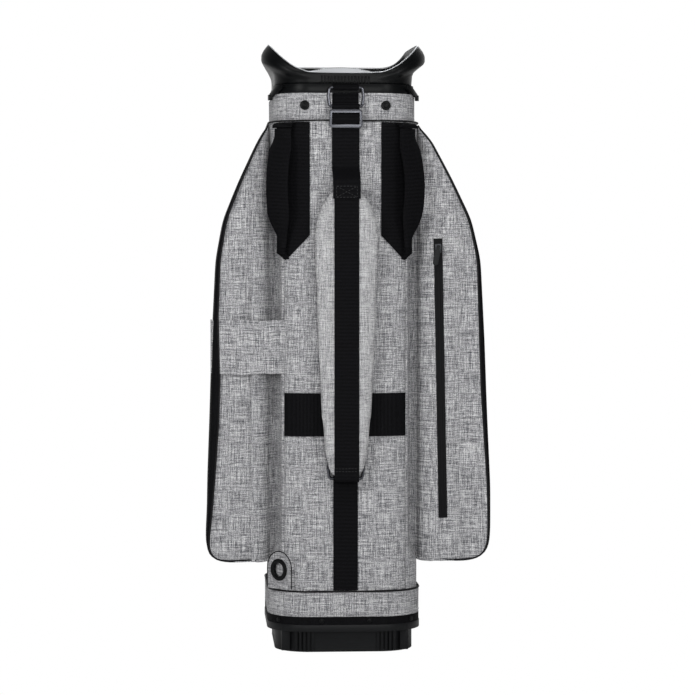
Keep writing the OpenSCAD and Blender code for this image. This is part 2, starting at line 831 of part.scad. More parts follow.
// Black strip round the pocket's outer edge
module pocket_gusset(side, reach) {
    color("#171718") mirror([side < 0 ? 1 : 0, 0, 0]) translate([half_w, 0, 0]) intersection() {
        rotate([90, 0, 0]) linear_extrude(body_d, center = true) difference() {
            offset(delta = gusset_t) pocket_side_view(reach);
            offset(delta = 0.05) pocket_side_view(reach);
        }
        span([0, -pocket_near + 15, z_pocket - 3], [reach + 9, pocket_far - 15, z_cuff - 5]);
    }
}

module left_side_pocket() { side_pocket(-1, left_out); }
module right_side_pocket() { side_pocket(1, right_out); }
module left_pocket_gusset() { pocket_gusset(-1, left_out); }
module right_pocket_gusset() { pocket_gusset(1, right_out); }

// Band that bridges from the spine's corner to the left pocket and holds an umbrella's shaft
module umbrella_band() {
    t = 1.8;
    wrap = 20;
    root_near = 34;
    root_far = 46;
    root = [for (a = [root_near:4:root_far]) [-sin(a), -cos(a)]];
    middle = [-(half_w - corner_r), -(half_d - corner_r)];
    edge = [-half_w - left_out + 13, -pocket_near - t];
    out_x = -half_w - left_out - gusset_t - free;
    n = len(root);
    color("#a9aaac") translate([0, 0, z_umbrella]) linear_extrude(umbrella_h)
        polygon(concat(
            [for (r = root) middle + (corner_r + snug + t) * r],
            [edge, [out_x - t, -pocket_near + 14], [out_x - t, -pocket_near + 14 + wrap],
                [out_x, -pocket_near + 14 + wrap], [out_x, -pocket_near + 14.5],
                edge + [0.5, t - 0.1]],
            [for (i = [n - 1:-1:0]) middle + (corner_r + snug) * root[i]]));
}

tab_turn = 47;
tab_h = 56;
tab_t = 3;
z_eyelet = z_body + piping_d / 2 + 29;

// Sewn tab with a round top, low on the left corner
module umbrella_tab() {
    color("#a4a5a7") at_corner(-1, tab_turn, 0) difference() {
        rotate([90, 0, 0]) linear_extrude(2 * tab_t, center = true) {
            translate([-tab_w / 2, z_body + piping_d / 2 + snug])
                square([tab_w, tab_h - tab_w / 2]);
            translate([0, z_body + piping_d / 2 + tab_h - tab_w / 2]) circle(tab_w / 2);
        }
        translate([0, 0, z_eyelet]) rotate([90, 0, 0])
            cylinder(r = eyelet_r + 3, h = 4 * tab_t, center = true, $fn = fine_fn);
        translate([0, corner_r, 0]) cylinder(r = corner_r + snug, h = z_cuff);
    }
}

// Round eyelet that takes the umbrella's tip
module umbrella_eyelet() {
    eyelet_t = 6;
    rim = 6;
    color("#1a1a1c") at_corner(-1, tab_turn, 0) translate([0, 0, z_eyelet]) rotate([90, 0, 0])
        rotate_extrude() {
            translate([eyelet_r, 0.5]) square([3 - snug, eyelet_t - 0.5]);
            translate([eyelet_r, tab_t + snug]) square([rim, eyelet_t - tab_t - snug]);
        }
}

// ---------- front pockets ----------

// Closed pocket with bevelled edges on the front panel
module front_pocket(w, h, t, z) {
    bevel = 12;
    flat = 2 * (half_w - corner_r);
    module block(in) {
        intersection() {
            linear_extrude(z + h) polygon([
                [-flat / 2 - 10 + in, half_d + in + 2.2], [-w / 2 + in, half_d + 12],
                [-w / 2 + in, half_d + t - bevel], [-w / 2 + bevel, half_d + t - in],
                [w / 2 - bevel, half_d + t - in], [w / 2 - in, half_d + t - bevel],
                [w / 2 - in, half_d + 12], [flat / 2 + 10 - in, half_d + in + 2.2],
                [flat / 2 - in, half_d + in], [-flat / 2 + in, half_d + in]]);
            across(w) polygon([[half_d + in, z + in], [half_d + t - bevel, z + in],
                [half_d + t - in, z + bevel], [half_d + t - in, z + h - bevel],
                [half_d + t - bevel, z + h - in], [half_d + in, z + h - in]]);
        }
    }
    color("#adaeb0") difference() {
        block(0);
        block(pocket_t);
    }
}

module front_ball_pocket() { front_pocket(ball_w, ball_h, ball_t, z_ball); }
module front_upper_pocket() { front_pocket(upper_w, upper_h, upper_t, z_upper); }

// ---------- zips ----------

// Tape and coil, hanging down from their top end with -Y as the way out
module zip_chain(l) {
    color("#141415") {
        translate([-tape_w / 2, -tape_t, -l]) cube([tape_w, tape_t, l]);
        translate([-coil_w / 2, -tape_t - coil_t, -l + 4]) cube([coil_w, coil_t, l - 8]);
    }
}

slider_top = -8;
pivot_z = slider_top - 4;
eye_r = pin_r + free + 1;
pivot_y = -tape_t - free - slider_t - free - eye_r;

// Slider body over the coil, with the bridge and pin for its puller
module zip_slider() {
    back = -tape_t - free;
    ear_x = 2.6;
    color("#2b2c2f") {
        difference() {
            translate([-slider_w / 2, back - slider_t, slider_top - slider_l])
                cube([slider_w, slider_t, slider_l]);
            translate([-coil_w / 2 - free, back - coil_t, slider_top - slider_l - over])
                cube([coil_w + 2 * free, coil_t + over, slider_l + 2 * over]);
        }
        translate([0, pivot_y, pivot_z]) rotate([0, puller_lean, 0]) {
            rotate([0, 90, 0]) cylinder(r = pin_r, h = 2 * ear_x + 2, center = true, $fn = fine_fn);
            for (s = [-1, 1])
                span([s * (ear_x + 0.6) - 0.6, -pin_r, -2], [s * (ear_x + 0.6) + 0.6, eye_r + free, 2]);
        }
    }
}

// Tab that hangs from the slider's pin
module zip_puller() {
    eye_w = 4;
    color("#1a1a1c") translate([0, pivot_y, pivot_z]) rotate([0, puller_lean, 0]) difference() {
        union() {
            rotate([0, 90, 0]) cylinder(r = eye_r, h = eye_w, center = true, $fn = fine_fn);
            span([-eye_w / 2, -eye_r, -eye_r - 4], [eye_w / 2, -eye_r + puller_t, 0]);
            translate([0, -eye_r + puller_t, -eye_r - 3 - (puller_l - puller_w / 2 - 3) / 2])
                rotate([90, 0, 0]) linear_extrude(puller_t) {
                    square([puller_w, puller_l - puller_w / 2 - 3], center = true);
                    translate([0, -(puller_l - puller_w / 2 - 3) / 2]) circle(puller_w / 2);
                }
        }
        rotate([0, 90, 0]) cylinder(r = pin_r + free, h = 3 * eye_w, center = true, $fn = fine_fn);
    }
}

// Where each zip's top end is, which way it faces and how long it is
module on_right() {
    translate([half_w + right_out - side_zip_in, -pocket_near, side_zip_top])
        rotate([0, -zip_lean, 0]) children();
}
module on_left() {
    translate([-half_w - left_out / 2, pocket_far, side_zip_top - 30])
        rotate([0, 0, 180]) children();
}
module on_ball() {
    translate([ball_w / 2 - front_zip_in, half_d + ball_t, z_ball + ball_h - front_zip_end])
        rotate([0, 0, 180]) children();
}
module on_upper() {
    translate([upper_w / 2 - front_zip_in, half_d + upper_t, z_upper + upper_h - front_zip_end])
        rotate([0, 0, 180]) children();
}

module right_zip_chain() { on_right() zip_chain(side_zip_l); }
module right_zip_slider() { on_right() zip_slider(); }
module right_zip_puller() { on_right() zip_puller(); }
module left_zip_chain() { on_left() zip_chain(side_zip_l - 60); }
module left_zip_slider() { on_left() zip_slider(); }
module left_zip_puller() { on_left() zip_puller(); }
module ball_zip_chain() { on_ball() zip_chain(ball_h - 2 * front_zip_end); }
module ball_zip_slider() { on_ball() zip_slider(); }
module ball_zip_puller() { on_ball() zip_puller(); }
module upper_zip_chain() { on_upper() zip_chain(upper_h - 2 * front_zip_end); }
module upper_zip_slider() { on_upper() zip_slider(); }
module upper_zip_puller() { on_upper() zip_puller(); }

// ---------- one line per piece ----------

base_cup();
base_pad();
base_trim_band();
base_rivets();
hem_band();
hem_piping();
spine_panel();
left_side_panel();
right_side_panel();
front_panel();
cuff_band();
cuff_piping();
collar_band();
collar_top();
collar_lip();
collar_ribs();
collar_clips();
hood_studs();
divider_cross_bars();
divider_short_bars();
divider_cross_walls();
divider_short_walls();
stay_rods();
ring_backing();
top_ring_keeper();
lower_ring_keeper();
cross_webbing();
spine_webbing();
left_handle_anchors();
right_handle_anchors();
left_side_pocket();
left_pocket_gusset();
right_side_pocket();
right_pocket_gusset();
umbrella_band();
umbrella_tab();
umbrella_eyelet();
front_ball_pocket();
front_upper_pocket();
right_zip_chain();
left_zip_chain();
ball_zip_chain();
upper_zip_chain();
top_ring();
strap_webbing();
shoulder_pad();
pad_webbing();
lower_ring();
strap_buckle();
buckle_fold();
left_handle();
right_handle();
right_zip_slider();
right_zip_puller();
left_zip_slider();
left_zip_puller();
ball_zip_slider();
ball_zip_puller();
upper_zip_slider();
upper_zip_puller();
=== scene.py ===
"""Golf bag of the cart kind: cloth body on a moulded base, winged collar, side pockets, strap.

Lengths are in millimetres until a mesh is made. X runs across the bag, -Y is its spine, +Z is up.
"""

import math

import bpy
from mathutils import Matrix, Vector, noise


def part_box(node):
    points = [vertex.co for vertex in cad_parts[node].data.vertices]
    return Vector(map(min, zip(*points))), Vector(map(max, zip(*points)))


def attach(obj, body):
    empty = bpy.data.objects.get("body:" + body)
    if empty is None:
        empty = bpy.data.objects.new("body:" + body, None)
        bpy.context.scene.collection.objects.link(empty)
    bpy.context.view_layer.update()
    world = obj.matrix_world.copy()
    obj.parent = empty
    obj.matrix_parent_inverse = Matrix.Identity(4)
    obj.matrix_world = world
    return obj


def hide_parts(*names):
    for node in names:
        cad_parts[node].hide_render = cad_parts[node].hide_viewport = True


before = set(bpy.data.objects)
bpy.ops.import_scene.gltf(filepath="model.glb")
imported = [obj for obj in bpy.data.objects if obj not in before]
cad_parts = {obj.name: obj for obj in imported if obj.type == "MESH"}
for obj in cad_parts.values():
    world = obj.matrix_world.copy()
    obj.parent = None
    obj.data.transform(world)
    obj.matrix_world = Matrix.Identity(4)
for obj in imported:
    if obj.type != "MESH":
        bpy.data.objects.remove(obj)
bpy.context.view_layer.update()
MM = 0.001


def span(node):
    """Lowest and highest corners of a CAD node"""
    return tuple(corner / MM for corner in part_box(node))


# ---------- sizes of the bag ----------

HALF_W = -span("left_side_panel")[0].x
HALF_D = -span("spine_panel")[0].y
CORNER = 60  # radius of the body's corners
SEAM_X = span("spine_panel")[1].x
Z_TRIM = span("base_trim_band")[0].z
Z_HEM = span("hem_band")[0].z
Z_BODY = span("hem_piping")[0].z + 1.5
Z_CUFF = span("cuff_band")[0].z
Z_BAND = span("cuff_band")[1].z
Z_POCKET = span("left_side_pocket")[0].z
HEM_OUT = 2.7  # hem and trim stand out of the body's wall
CUFF_OUT = -4  # the cuff is drawn in under the collar
SAG = 12  # how far a side panel's cloth is drawn in beside its pocket
WEB_T = 1.8  # thickness of the webbing
WIRE_R = 2.3  # half the thickness of the strap rings
LOOP_R = 4.4  # outside of the webbing round a ring's bar
STRAP_Y = -132.2  # depth of the rings' bars
Z_TOP_RING = span("top_ring")[1].z - WIRE_R
Z_TOP_BAR = span("top_ring")[0].z + WIRE_R
Z_LOW_RING = span("lower_ring")[1].z - WIRE_R
Z_LOW_BAR = span("lower_ring")[0].z + WIRE_R
PAD_TOP = span("shoulder_pad")[1].z
PAD_LOW = span("shoulder_pad")[0].z
PAD_FRONT = span("shoulder_pad")[0].y
PAD_BACK = span("shoulder_pad")[1].y
POCKET_NEAR = 96  # the side pockets' near face, towards the spine
POCKET_FAR = 62  # and their far face, towards the front
HANDLE_TURN = math.radians(36)
HANDLE_TOP = Z_CUFF - 12
HANDLE_LOW = HANDLE_TOP - 176

# Slots, the names that sort the pieces by finish
CLOTH_SLOT = "heather_fabric"
WEB_SLOT = "black_webbing"
MOULDED_SLOT = "moulded_plastic"
PIPING_SLOT = "black_piping"
GUSSET_SLOT = "black_gusset"

# ---------- camera ----------

# In metres: the camera stands behind the spine, a little to one side, and looks slightly down
VIEW_TURN = math.radians(3.6)
VIEW_DIP = math.radians(1.67)
VIEW_FAR = 3.5
VIEW_UP = 0.545
VIEW_SLIDE = 0.0107
camera = bpy.data.objects.new("camera", bpy.data.cameras.new("camera"))
bpy.context.collection.objects.link(camera)
camera.data.lens = 120
camera.data.sensor_width = 36
side_way = Vector((math.cos(VIEW_TURN), -math.sin(VIEW_TURN), 0))
back_way = Vector((-math.sin(VIEW_TURN), -math.cos(VIEW_TURN), 0))
camera.location = back_way * VIEW_FAR + side_way * VIEW_SLIDE + Vector((0, 0, VIEW_UP))
camera.rotation_euler = (math.pi / 2 - VIEW_DIP, 0, -VIEW_TURN)
bpy.context.scene.camera = camera

# ---------- material helpers ----------


def linear(code, alpha=1.0):
    """sRGB hex colour as linear RGBA"""
    parts = [int(code[i : i + 2], 16) / 255 for i in (1, 3, 5)]
    return (*[c / 12.92 if c <= 0.04045 else ((c + 0.055) / 1.055) ** 2.4 for c in parts], alpha)


def add(tree, kind, inputs=None, out=None, stops=(), **settings):
    """Adds a node with its settings, links or fills its inputs, and gives the output asked for.

    Stops are a colour ramp's, as (place, hex)."""
    made = tree.nodes.new(kind)
    for key, value in settings.items():
        setattr(made, key, value)
    for key, value in (inputs or {}).items():
        if isinstance(value, bpy.types.NodeSocket):
            tree.links.new(value, made.inputs[key])
        else:
            made.inputs[key].default_value = value
    if stops:
        band = made.color_ramp.elements
        while len(band) < len(stops):
            band.new(0.5)
        for stop, (place, code) in zip(band, stops):
            stop.position, stop.color = place, linear(code)
    return made if out is None else made.outputs[out]


def material(name, code, roughness, **constants):
    """A material with its shader's own constants set, its tree and its shader"""
    made = bpy.data.materials.new(name)
    made.use_nodes = True
    tree = made.node_tree
    shader = tree.nodes["Principled BSDF"]
    shader.inputs["Base Color"].default_value = linear(code)
    shader.inputs["Roughness"].default_value = roughness
    for key, value in constants.items():
        shader.inputs[key.replace("_", " ")].default_value = value
    made.diffuse_color = linear(code)
    return made, tree, shader


def blotches(tree, place, across_mm, along_mm, detail=2.0, flat="2D"):
    """Irregular pattern whose features have the given two sizes"""
    scale = (1 / (across_mm * MM), 1 / (along_mm * MM), 1 / MM)
    scaled = add(tree, "ShaderNodeMapping", {"Vector": place, "Scale": scale}, "Vector")
    kit = {"Vector": scaled, "Scale": 1.0, "Detail": detail, "Roughness": 0.6}
    return add(tree, "ShaderNodeTexNoise", kit, "Fac", noise_dimensions=flat)


def coat(tree, shader, colour, height, strength, depth_mm):
    """Joins a colour and a height pattern to the shader"""
    kit = {"Height": height, "Strength": strength, "Distance": depth_mm * MM}
    bumped = add(tree, "ShaderNodeBump", kit, "Normal")
    tree.links.new(colour, shader.inputs["Base Color"])
    tree.links.new(bumped, shader.inputs["Normal"])


def melange(name, stops, start):
    """Woven polyester of mixed light and dark yarns, with slubs both ways.

    The yarns are 0.5 mm apart on the real cloth and are drawn 0.9 mm apart so that they show."""
    made, tree, shader = material(
        name, "#a4a4a5", 0.92, Sheen_Weight=0.12, Sheen_Roughness=0.5, Specular_IOR_Level=0.2
    )
    place = add(tree, "ShaderNodeTexCoord", out="UV")
    kit = {"Vector": place, "Location": (start, start / 3, 0)}
    place = add(tree, "ShaderNodeMapping", kit, "Vector")
    warp = blotches(tree, place, 0.9, 9)
    weft = blotches(tree, place, 9, 0.9)
    slub = blotches(tree, place, 1.4, 34, 1.0)
    slub_across = blotches(tree, place, 34, 1.4, 1.0)
    fleck = blotches(tree, place, 1.2, 1.2, 0.0)
    threads = add(tree, "ShaderNodeMath", {0: warp, 1: weft}, 0, operation="ADD")
    slubs = add(tree, "ShaderNodeMath", {0: slub, 1: slub_across}, 0, operation="ADD")
    yarns = add(tree, "ShaderNodeMath", {0: threads, 1: slubs}, 0, operation="ADD")
    yarn_share = add(tree, "ShaderNodeMath", {0: yarns, 1: 0.21}, 0, operation="MULTIPLY")
    fleck_share = add(tree, "ShaderNodeMath", {0: fleck, 1: 0.16}, 0, operation="MULTIPLY")
    mixed = add(tree, "ShaderNodeMath", {0: yarn_share, 1: fleck_share}, 0, operation="ADD")
    colour = add(tree, "ShaderNodeValToRGB", {"Fac": mixed}, "Color", stops)
    coat(tree, shader, colour, mixed, 0.55, 1.6)
    return made


# Distance between the bands of Blender's wave pattern at a scale of 1
BAND_STEP = 0.314


def ribbed(name, code, axis, rib_mm, roughness=0.62):
    """Dyed yarn woven in flat ribs, with a fine grain; almost no shine, so it stays deep black"""
    made, tree, shader = material(name, code, roughness, Specular_IOR_Level=0.015)
    place = add(tree, "ShaderNodeTexCoord", out="UV")
    kit = {"Vector": place, "Scale": BAND_STEP / (rib_mm * MM), "Distortion": 0.4, "Detail": 1.0}
    ribs = add(tree, "ShaderNodeTexWave", kit, "Fac", bands_direction=axis)
    grain = blotches(tree, place, 1.2, 3.0)
    mixed = add(tree, "ShaderNodeMath", {0: ribs, 1: grain}, 0, operation="ADD")
    stops = [(0.3, "#010101"), (1.0, code), (1.7, "#18181a")]
    colour = add(tree, "ShaderNodeValToRGB", {"Fac": mixed}, "Color", stops)
    coat(tree, shader, colour, ribs, 0.35, 0.5)
    return made


def grained(name, code, roughness, grain_mm=0.9, depth_mm=0.12, light=None, **constants):
    """Plain finish with a fine grain, a little lighter and rougher in patches where it is rubbed"""
    made, tree, shader = material(name, code, roughness, **constants)
    place = add(tree, "ShaderNodeTexCoord", out="Object")
    grain = blotches(tree, place, grain_mm, grain_mm, 2.0, "3D")
    patch = blotches(tree, place, 28, 28, 3.0, "3D")
    stops = [(0.35, code), (0.7, light or code)]
    colour = add(tree, "ShaderNodeValToRGB", {"Fac": patch}, "Color", stops)
    kit = {"Value": patch, "To Min": roughness - 0.06, "To Max": roughness + 0.1}
    rubbed = add(tree, "ShaderNodeMapRange", kit, "Result")
    tree.links.new(rubbed, shader.inputs["Roughness"])
    coat(tree, shader, colour, grain, 0.4, depth_mm)
    return made


def dotted(name, code, hole, pitch_mm):
    """Spacer mesh: a light knit with a regular grid of round holes"""
    made, tree, shader = material(name, code, 0.8, Sheen_Weight=0.2)
    place = add(tree, "ShaderNodeTexCoord", out="Object")
    kit = {"Vector": place, "Scale": 1 / (pitch_mm * MM), "Randomness": 0.0}
    far = add(tree, "ShaderNodeTexVoronoi", kit, "Distance")
    colour = add(tree, "ShaderNodeValToRGB", {"Fac": far}, "Color", [(0.3, hole), (0.42, code)])
    coat(tree, shader, colour, far, 0.6, 1.0)
    return made


# Heather polyester, plain weave: matt cool grey, flecked by its light and dark yarns
HEATHER = melange(
    "heather_polyester_woven",
    [(0.37, "#38393d"), (0.46, "#727275"), (0.52, "#9a9a9c"), (0.59, "#c2c2c3"), (0.69, "#ececec")],
    0.0,
)
# The pad's cloth is the same weave painted paler and more even: a lit copy of the heather cloth,
# standing in for the light on the pad's forward face
PAD_CLOTH_PAINTED_LIT = melange(
    "pad_polyester_painted_lit",
    [(0.35, "#545457"), (0.45, "#878789"), (0.52, "#a4a4a5"), (0.6, "#c2c2c3"), (0.71, "#e4e4e4")],
    3.7,
)
# Nylon webbing: deep black with fine ribs 2 mm apart across the strap
WEBBING = ribbed("nylon_webbing_ribbed", "#050506", "Y", 2.0)
# The same webbing laid across the spine, so that its ribs stand upright
CROSS_WEBBING = ribbed("nylon_webbing_cross", "#040405", "X", 2.0)
# Grosgrain tape round the base: finer ribs and a trace of shine
TRIM = ribbed("polyester_grosgrain", "#070708", "X", 1.6, 0.55)
# Plain black polyester of the pocket gussets: matt, closely woven
GUSSET = ribbed("black_polyester_plain", "#0b0b0c", "Y", 1.5)
# Soft PVC piping: black with a dull gleam along its round edge
PIPING = grained("pvc_piping_soft", "#0e0e10", 0.5, 1.5, 0.1, Specular_IOR_Level=0.15)
# Moulded ABS of the collar, clips and studs: black, smooth enough for a broad soft highlight
BLACK_ABS = grained(
    "abs_black_moulded", "#060708", 0.34, 0.9, 0.1, "#0b0c0d", Specular_IOR_Level=0.1
)
# Moulded polypropylene base: duller and a shade greyer than the collar, with a coarser grain
BASE_ABS = grained(
    "polypropylene_base_moulded", "#0f1011", 0.44, 1.1, 0.16, "#141517", Specular_IOR_Level=0.15
)
# Moulded trim on the rim, painted pale silver for the highlight along the collar's lit top edge:
# satin, half metallic
LIP_PAINTED_HIGHLIGHT = grained("rim_lip_painted_highlight", "#b9bbbf", 0.35, 1.2, 0.05, "#c6c8cb", Metallic=0.6)
# Zinc casting plated in black nickel: dark mirror with sharp highlights
RING_METAL = grained("zinc_black_nickel_plated", "#4a4b50", 0.2, 2.0, 0.04, "#55565b", Metallic=1.0)
# Zinc casting under black lacquer: darker, its highlights a little softer
BUCKLE_METAL = grained("zinc_black_lacquered", "#37383c", 0.26, 2.0, 0.05, "#3e3f43", Metallic=0.9)
# Cast zip slider with a worn black coat
ZIP_METAL = grained("zip_zinc_black", "#2d2e31", 0.35, 1.0, 0.05, "#36373a", Metallic=0.8)
# Rubbery moulded puller: matt black
ZIP_PULL = grained("tpr_zip_pull", "#121315", 0.55, 1.0, 0.1, Specular_IOR_Level=0.2)
# Nylon zip teeth and tape: matt black
ZIP_TAPE = grained("zip_nylon_tape", "#0d0d0f", 0.6, 0.8, 0.2, Specular_IOR_Level=0.1)
# Pultruded fibreglass stays: pale, slightly waxy
STAY = grained("fibreglass_stay", "#b9b9b2", 0.5)
# Closed-cell EVA foam on the base's floor: charcoal, quite matt
FOAM = grained("eva_foam_pad", "#2b2c2e", 0.9, 1.5, 0.4, "#303133")
# Coated nylon of the divider walls: matt, near black
LINER = grained("nylon_liner_woven", "#232326", 0.85, 0.9, 0.3, "#28282b")
# Padded nylon over the short divider bars: soft and matt
DIVIDER_FOAM = grained("padded_nylon_divider", "#26272a", 0.8, 1.0, 0.3, "#2c2d30")
# Silver spacer mesh over the long divider bars: pale, with dark holes 3.2 mm apart
MESH = dotted("silver_spacer_mesh", "#c9cbce", "#303134", 3.2)
# Bonded polyester thread: black on the webbing, grey on the cloth, both dull
THREAD = material("polyester_thread_black", "#1f1f21", 0.7)[0]
THREAD_GREY = material("polyester_thread_grey", "#7e7e81", 0.7)[0]

# ---------- modelling helpers ----------


def only(obj):
    """Selects one object alone and makes it active"""
    bpy.ops.object.select_all(action="DESELECT")
    obj.select_set(True)
    bpy.context.view_layer.objects.active = obj


def apply(obj, kind, **settings):
    """Adds a modifier with its settings and applies it"""
    only(obj)
    made = obj.modifiers.new(kind.lower(), kind)
    for key, value in settings.items():
        setattr(made, key, value)
    bpy.ops.object.modifier_apply(modifier=made.name)
    return obj


def edit(obj, *steps):
    """Runs edit-mode operators on the whole of a mesh"""
    only(obj)
    bpy.ops.object.mode_set(mode="EDIT")
    bpy.ops.mesh.select_all(action="SELECT")
    for operator, settings in steps:
        operator(**settings)
    bpy.ops.object.mode_set(mode="OBJECT")


def smooth(obj, angle=40):
    """Shades a mesh smooth, but for edges sharper than the angle"""
    only(obj)
    bpy.ops.object.shade_smooth_by_angle(angle=math.radians(angle))
    return obj


def dress(obj, stuff, slot, body="bag", nodes=()):
    """Gives a finished piece its material and body and hides the CAD nodes that it stands for; the
    slot is not used
    """
    obj.data.materials.clear()
    obj.data.materials.append(stuff)
    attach(obj, body)
    if nodes:
        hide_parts(*nodes)
    return obj


def lofted(name, cols, rows, place, size, thick=0, closed=False):
    """A grid shaped by place(u, v) in mm, its UV map in metres, its thickness on the inside"""
    bpy.ops.object.select_all(action="DESELECT")
    bpy.ops.mesh.primitive_grid_add(x_subdivisions=cols, y_subdivisions=rows, size=1)
    obj = bpy.context.object
    obj.name = name
    mesh = obj.data
    wide = cols + 1
    for v in range(rows + 1):
        for u in range(wide):
            mesh.vertices[v * wide + u].co = place(u / cols, v / rows) * MM
    chart = mesh.uv_layers.active.data
    for loop in mesh.loops:
        row, col = divmod(loop.vertex_index, wide)
        chart[loop.index].uv = (col / cols * size[0] * MM, row / rows * size[1] * MM)
    if closed:
        edit(obj, (bpy.ops.mesh.remove_doubles, {"threshold": 0.00005}))
    if thick:
        apply(obj, "SOLIDIFY", thickness=thick * MM, offset=-1)
    return smooth(obj)


def tube(name, runs, radius, closed=False, sides=2):
    """Round cord along each run of points in mm"""
    curve = bpy.data.curves.new(name, "CURVE")
    curve.dimensions = "3D"
    curve.bevel_depth = radius * MM
    curve.bevel_resolution = sides
    curve.use_fill_caps = True
    for run in runs:
        line = curve.splines.new("POLY")
        line.points.add(len(run) - 1)
        for point, at in zip(line.points, run):
            point.co = (*(at * MM), 1)
        line.use_cyclic_u = closed
    obj = bpy.data.objects.new(name, curve)
    bpy.context.collection.objects.link(obj)
    only(obj)
    bpy.ops.object.convert(target="MESH")
    return smooth(bpy.context.object, 60)


def evenly(points, count):
    """Points at even steps along a polyline, ends included"""
    steps = [(b - a).length for a, b in zip(points, points[1:])]
    total = sum(steps)
    out, seg, gone = [], 0, 0.0
    for i in range(count + 1):
        want = total * i / count
        while seg < len(steps) - 1 and gone + steps[seg] < want:
            gone += steps[seg]
            seg += 1
        share = (want - gone) / steps[seg] if steps[seg] else 0
        out.append(points[seg].lerp(points[seg + 1], min(1, max(0, share))))
    return out


def rounded_path(points, count, passes=3):
    """Even points along a polyline with its bends eased, ends kept"""
    line = evenly(points, count)
    for _ in range(passes):
        eased = [(a + 2 * b + c) / 4 for a, b, c in zip(line, line[1:], line[2:])]
        line = [line[0], *eased, line[-1]]
    return line


def stitches(name, runs, radius=0.45, length=3.0, gap=1.9):
    """Rows of thread stitches along runs of points"""
    dashes = []
    for run in runs:
        total = sum((b - a).length for a, b in zip(run, run[1:]))
        count = max(2, round(total / (length + gap)))
        marks = evenly(run, 5 * count)
        dashes += [[marks[5 * i], marks[5 * i + 3]] for i in range(count)]
    return tube(name, dashes, radius, sides=0)


def table(stops, at):
    """Straight-line value through (place, value) stops"""
    if at <= stops[0][0]:
        return stops[0][1]
    for (a, va), (b, vb) in zip(stops, stops[1:]):
        if at <= b:
            return va + (vb - va) * (at - a) / (b - a)
    return stops[-1][1]


def ease(value):
    """Smooth step from 0 to 1"""
    value = min(1, max(0, value))
    return value * value * (3 - 2 * value)


def flat_chart(obj, chart_of):
    """UV map in metres from each point's place"""
    layer = obj.data.uv_layers.active or obj.data.uv_layers.new(name="UVMap")
    points = obj.data.vertices
    for loop in obj.data.loops:
        layer.data[loop.index].uv = chart_of(points[loop.vertex_index].co)


def copy_of(node, bevel=0.0, steps=2, fine=0, angle=40):
    """A CAD node's shape as a new merged mesh, with its edges rounded"""
    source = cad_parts[node]
    obj = bpy.data.objects.new(node + "_piece", source.data.copy())
    bpy.context.collection.objects.link(obj)
    edit(obj, (bpy.ops.mesh.remove_doubles, {"threshold": 0.00001}))
    if fine:
        apply(obj, "SUBSURF", levels=fine, render_levels=fine)
    if bevel:
        edit(obj, (bpy.ops.mesh.dissolve_limited, {"angle_limit": math.radians(1)}))
        apply(
            obj, "BEVEL", width=bevel * MM, segments=steps, limit_method="ANGLE",
            angle_limit=math.radians(35), use_clamp_overlap=True,
        )
        apply(obj, "TRIANGULATE")
    return smooth(obj, angle)


# ---------- the body's plan ----------

SPINE_HALF = HALF_W - CORNER
SIDE_HALF = HALF_D - CORNER
ARC = CORNER * math.pi / 2
ROUND = 4 * (SPINE_HALF + SIDE_HALF + ARC)
SEAM_S = SPINE_HALF + CORNER * math.asin((SEAM_X - SPINE_HALF) / CORNER)


def wall(s, z=0.0, out=0.0):
    """Point on the body's wall, s along it from the middle of the spine towards +X"""
    s = (s + SPINE_HALF) % ROUND
    for quarter in range(4):
        half, deep = (SPINE_HALF, HALF_D) if quarter % 2 == 0 else (SIDE_HALF, HALF_W)
        if s <= 2 * half + ARC or quarter == 3:
            break
        s -= 2 * half + ARC
    turn = max(0, s - 2 * half) / CORNER
    x = min(s, 2 * half) - half + (CORNER + out) * math.sin(turn)
    y = -(deep - CORNER) - (CORNER + out) * math.cos(turn)
    for _ in range(quarter):
        x, y = -y, x
    return Vector((x, y, z))


def ring_of(z, out, wave=0.0, count=180):
    """Closed run of points round the body at one height"""
    waves = [wave * noise.noise(Vector((i / 9, z, 0))) for i in range(count)]
    return [wall(ROUND * i / count, z + up, out) for i, up in enumerate(waves)]


def wrap(name, s0, s1, z0, z1, out, thick, sink, step=2.5, row=8, closed=False):
    """Cloth laid on the body's wall; sink(s, z, edge) is how far a point lies below the face"""
    cols, rows = round((s1 - s0) / step), max(4, round((z1 - z0) / row))

    def place(u, v):
        s, z = s0 + (s1 - s0) * u, z0 + (z1 - z0) * v
        edge = 99 if closed else min(u, 1 - u) * (s1 - s0)
        return wall(s, z, out - sink(s, z, edge))

    return lofted(name, cols, rows, place, (s1 - s0, z1 - z0), thick, closed)


def seam_sink(s, z, edge):
    """Quilted body panel: rolled in at its seams, with faint hollows in the cloth"""
    hollow = 0.7 + 0.7 * noise.noise(Vector((s / 45, z / 150, 1.7)))
    return 1.6 * math.exp(-((edge / 2.2) ** 2)) + hollow * ease(edge / 12)


def side_sink(s, z, edge):
    """Side panel, drawn in where a pocket is sewn to it"""
    drawn = ease((Z_CUFF - 30 - z) / 70) * ease((z - Z_POCKET + 5) / 40)
    return seam_sink(s, z, edge) + SAG * ease(edge / 28) * (1 - ease((edge - 50) / 18)) * drawn


# ---------- body, hem, cuff ----------

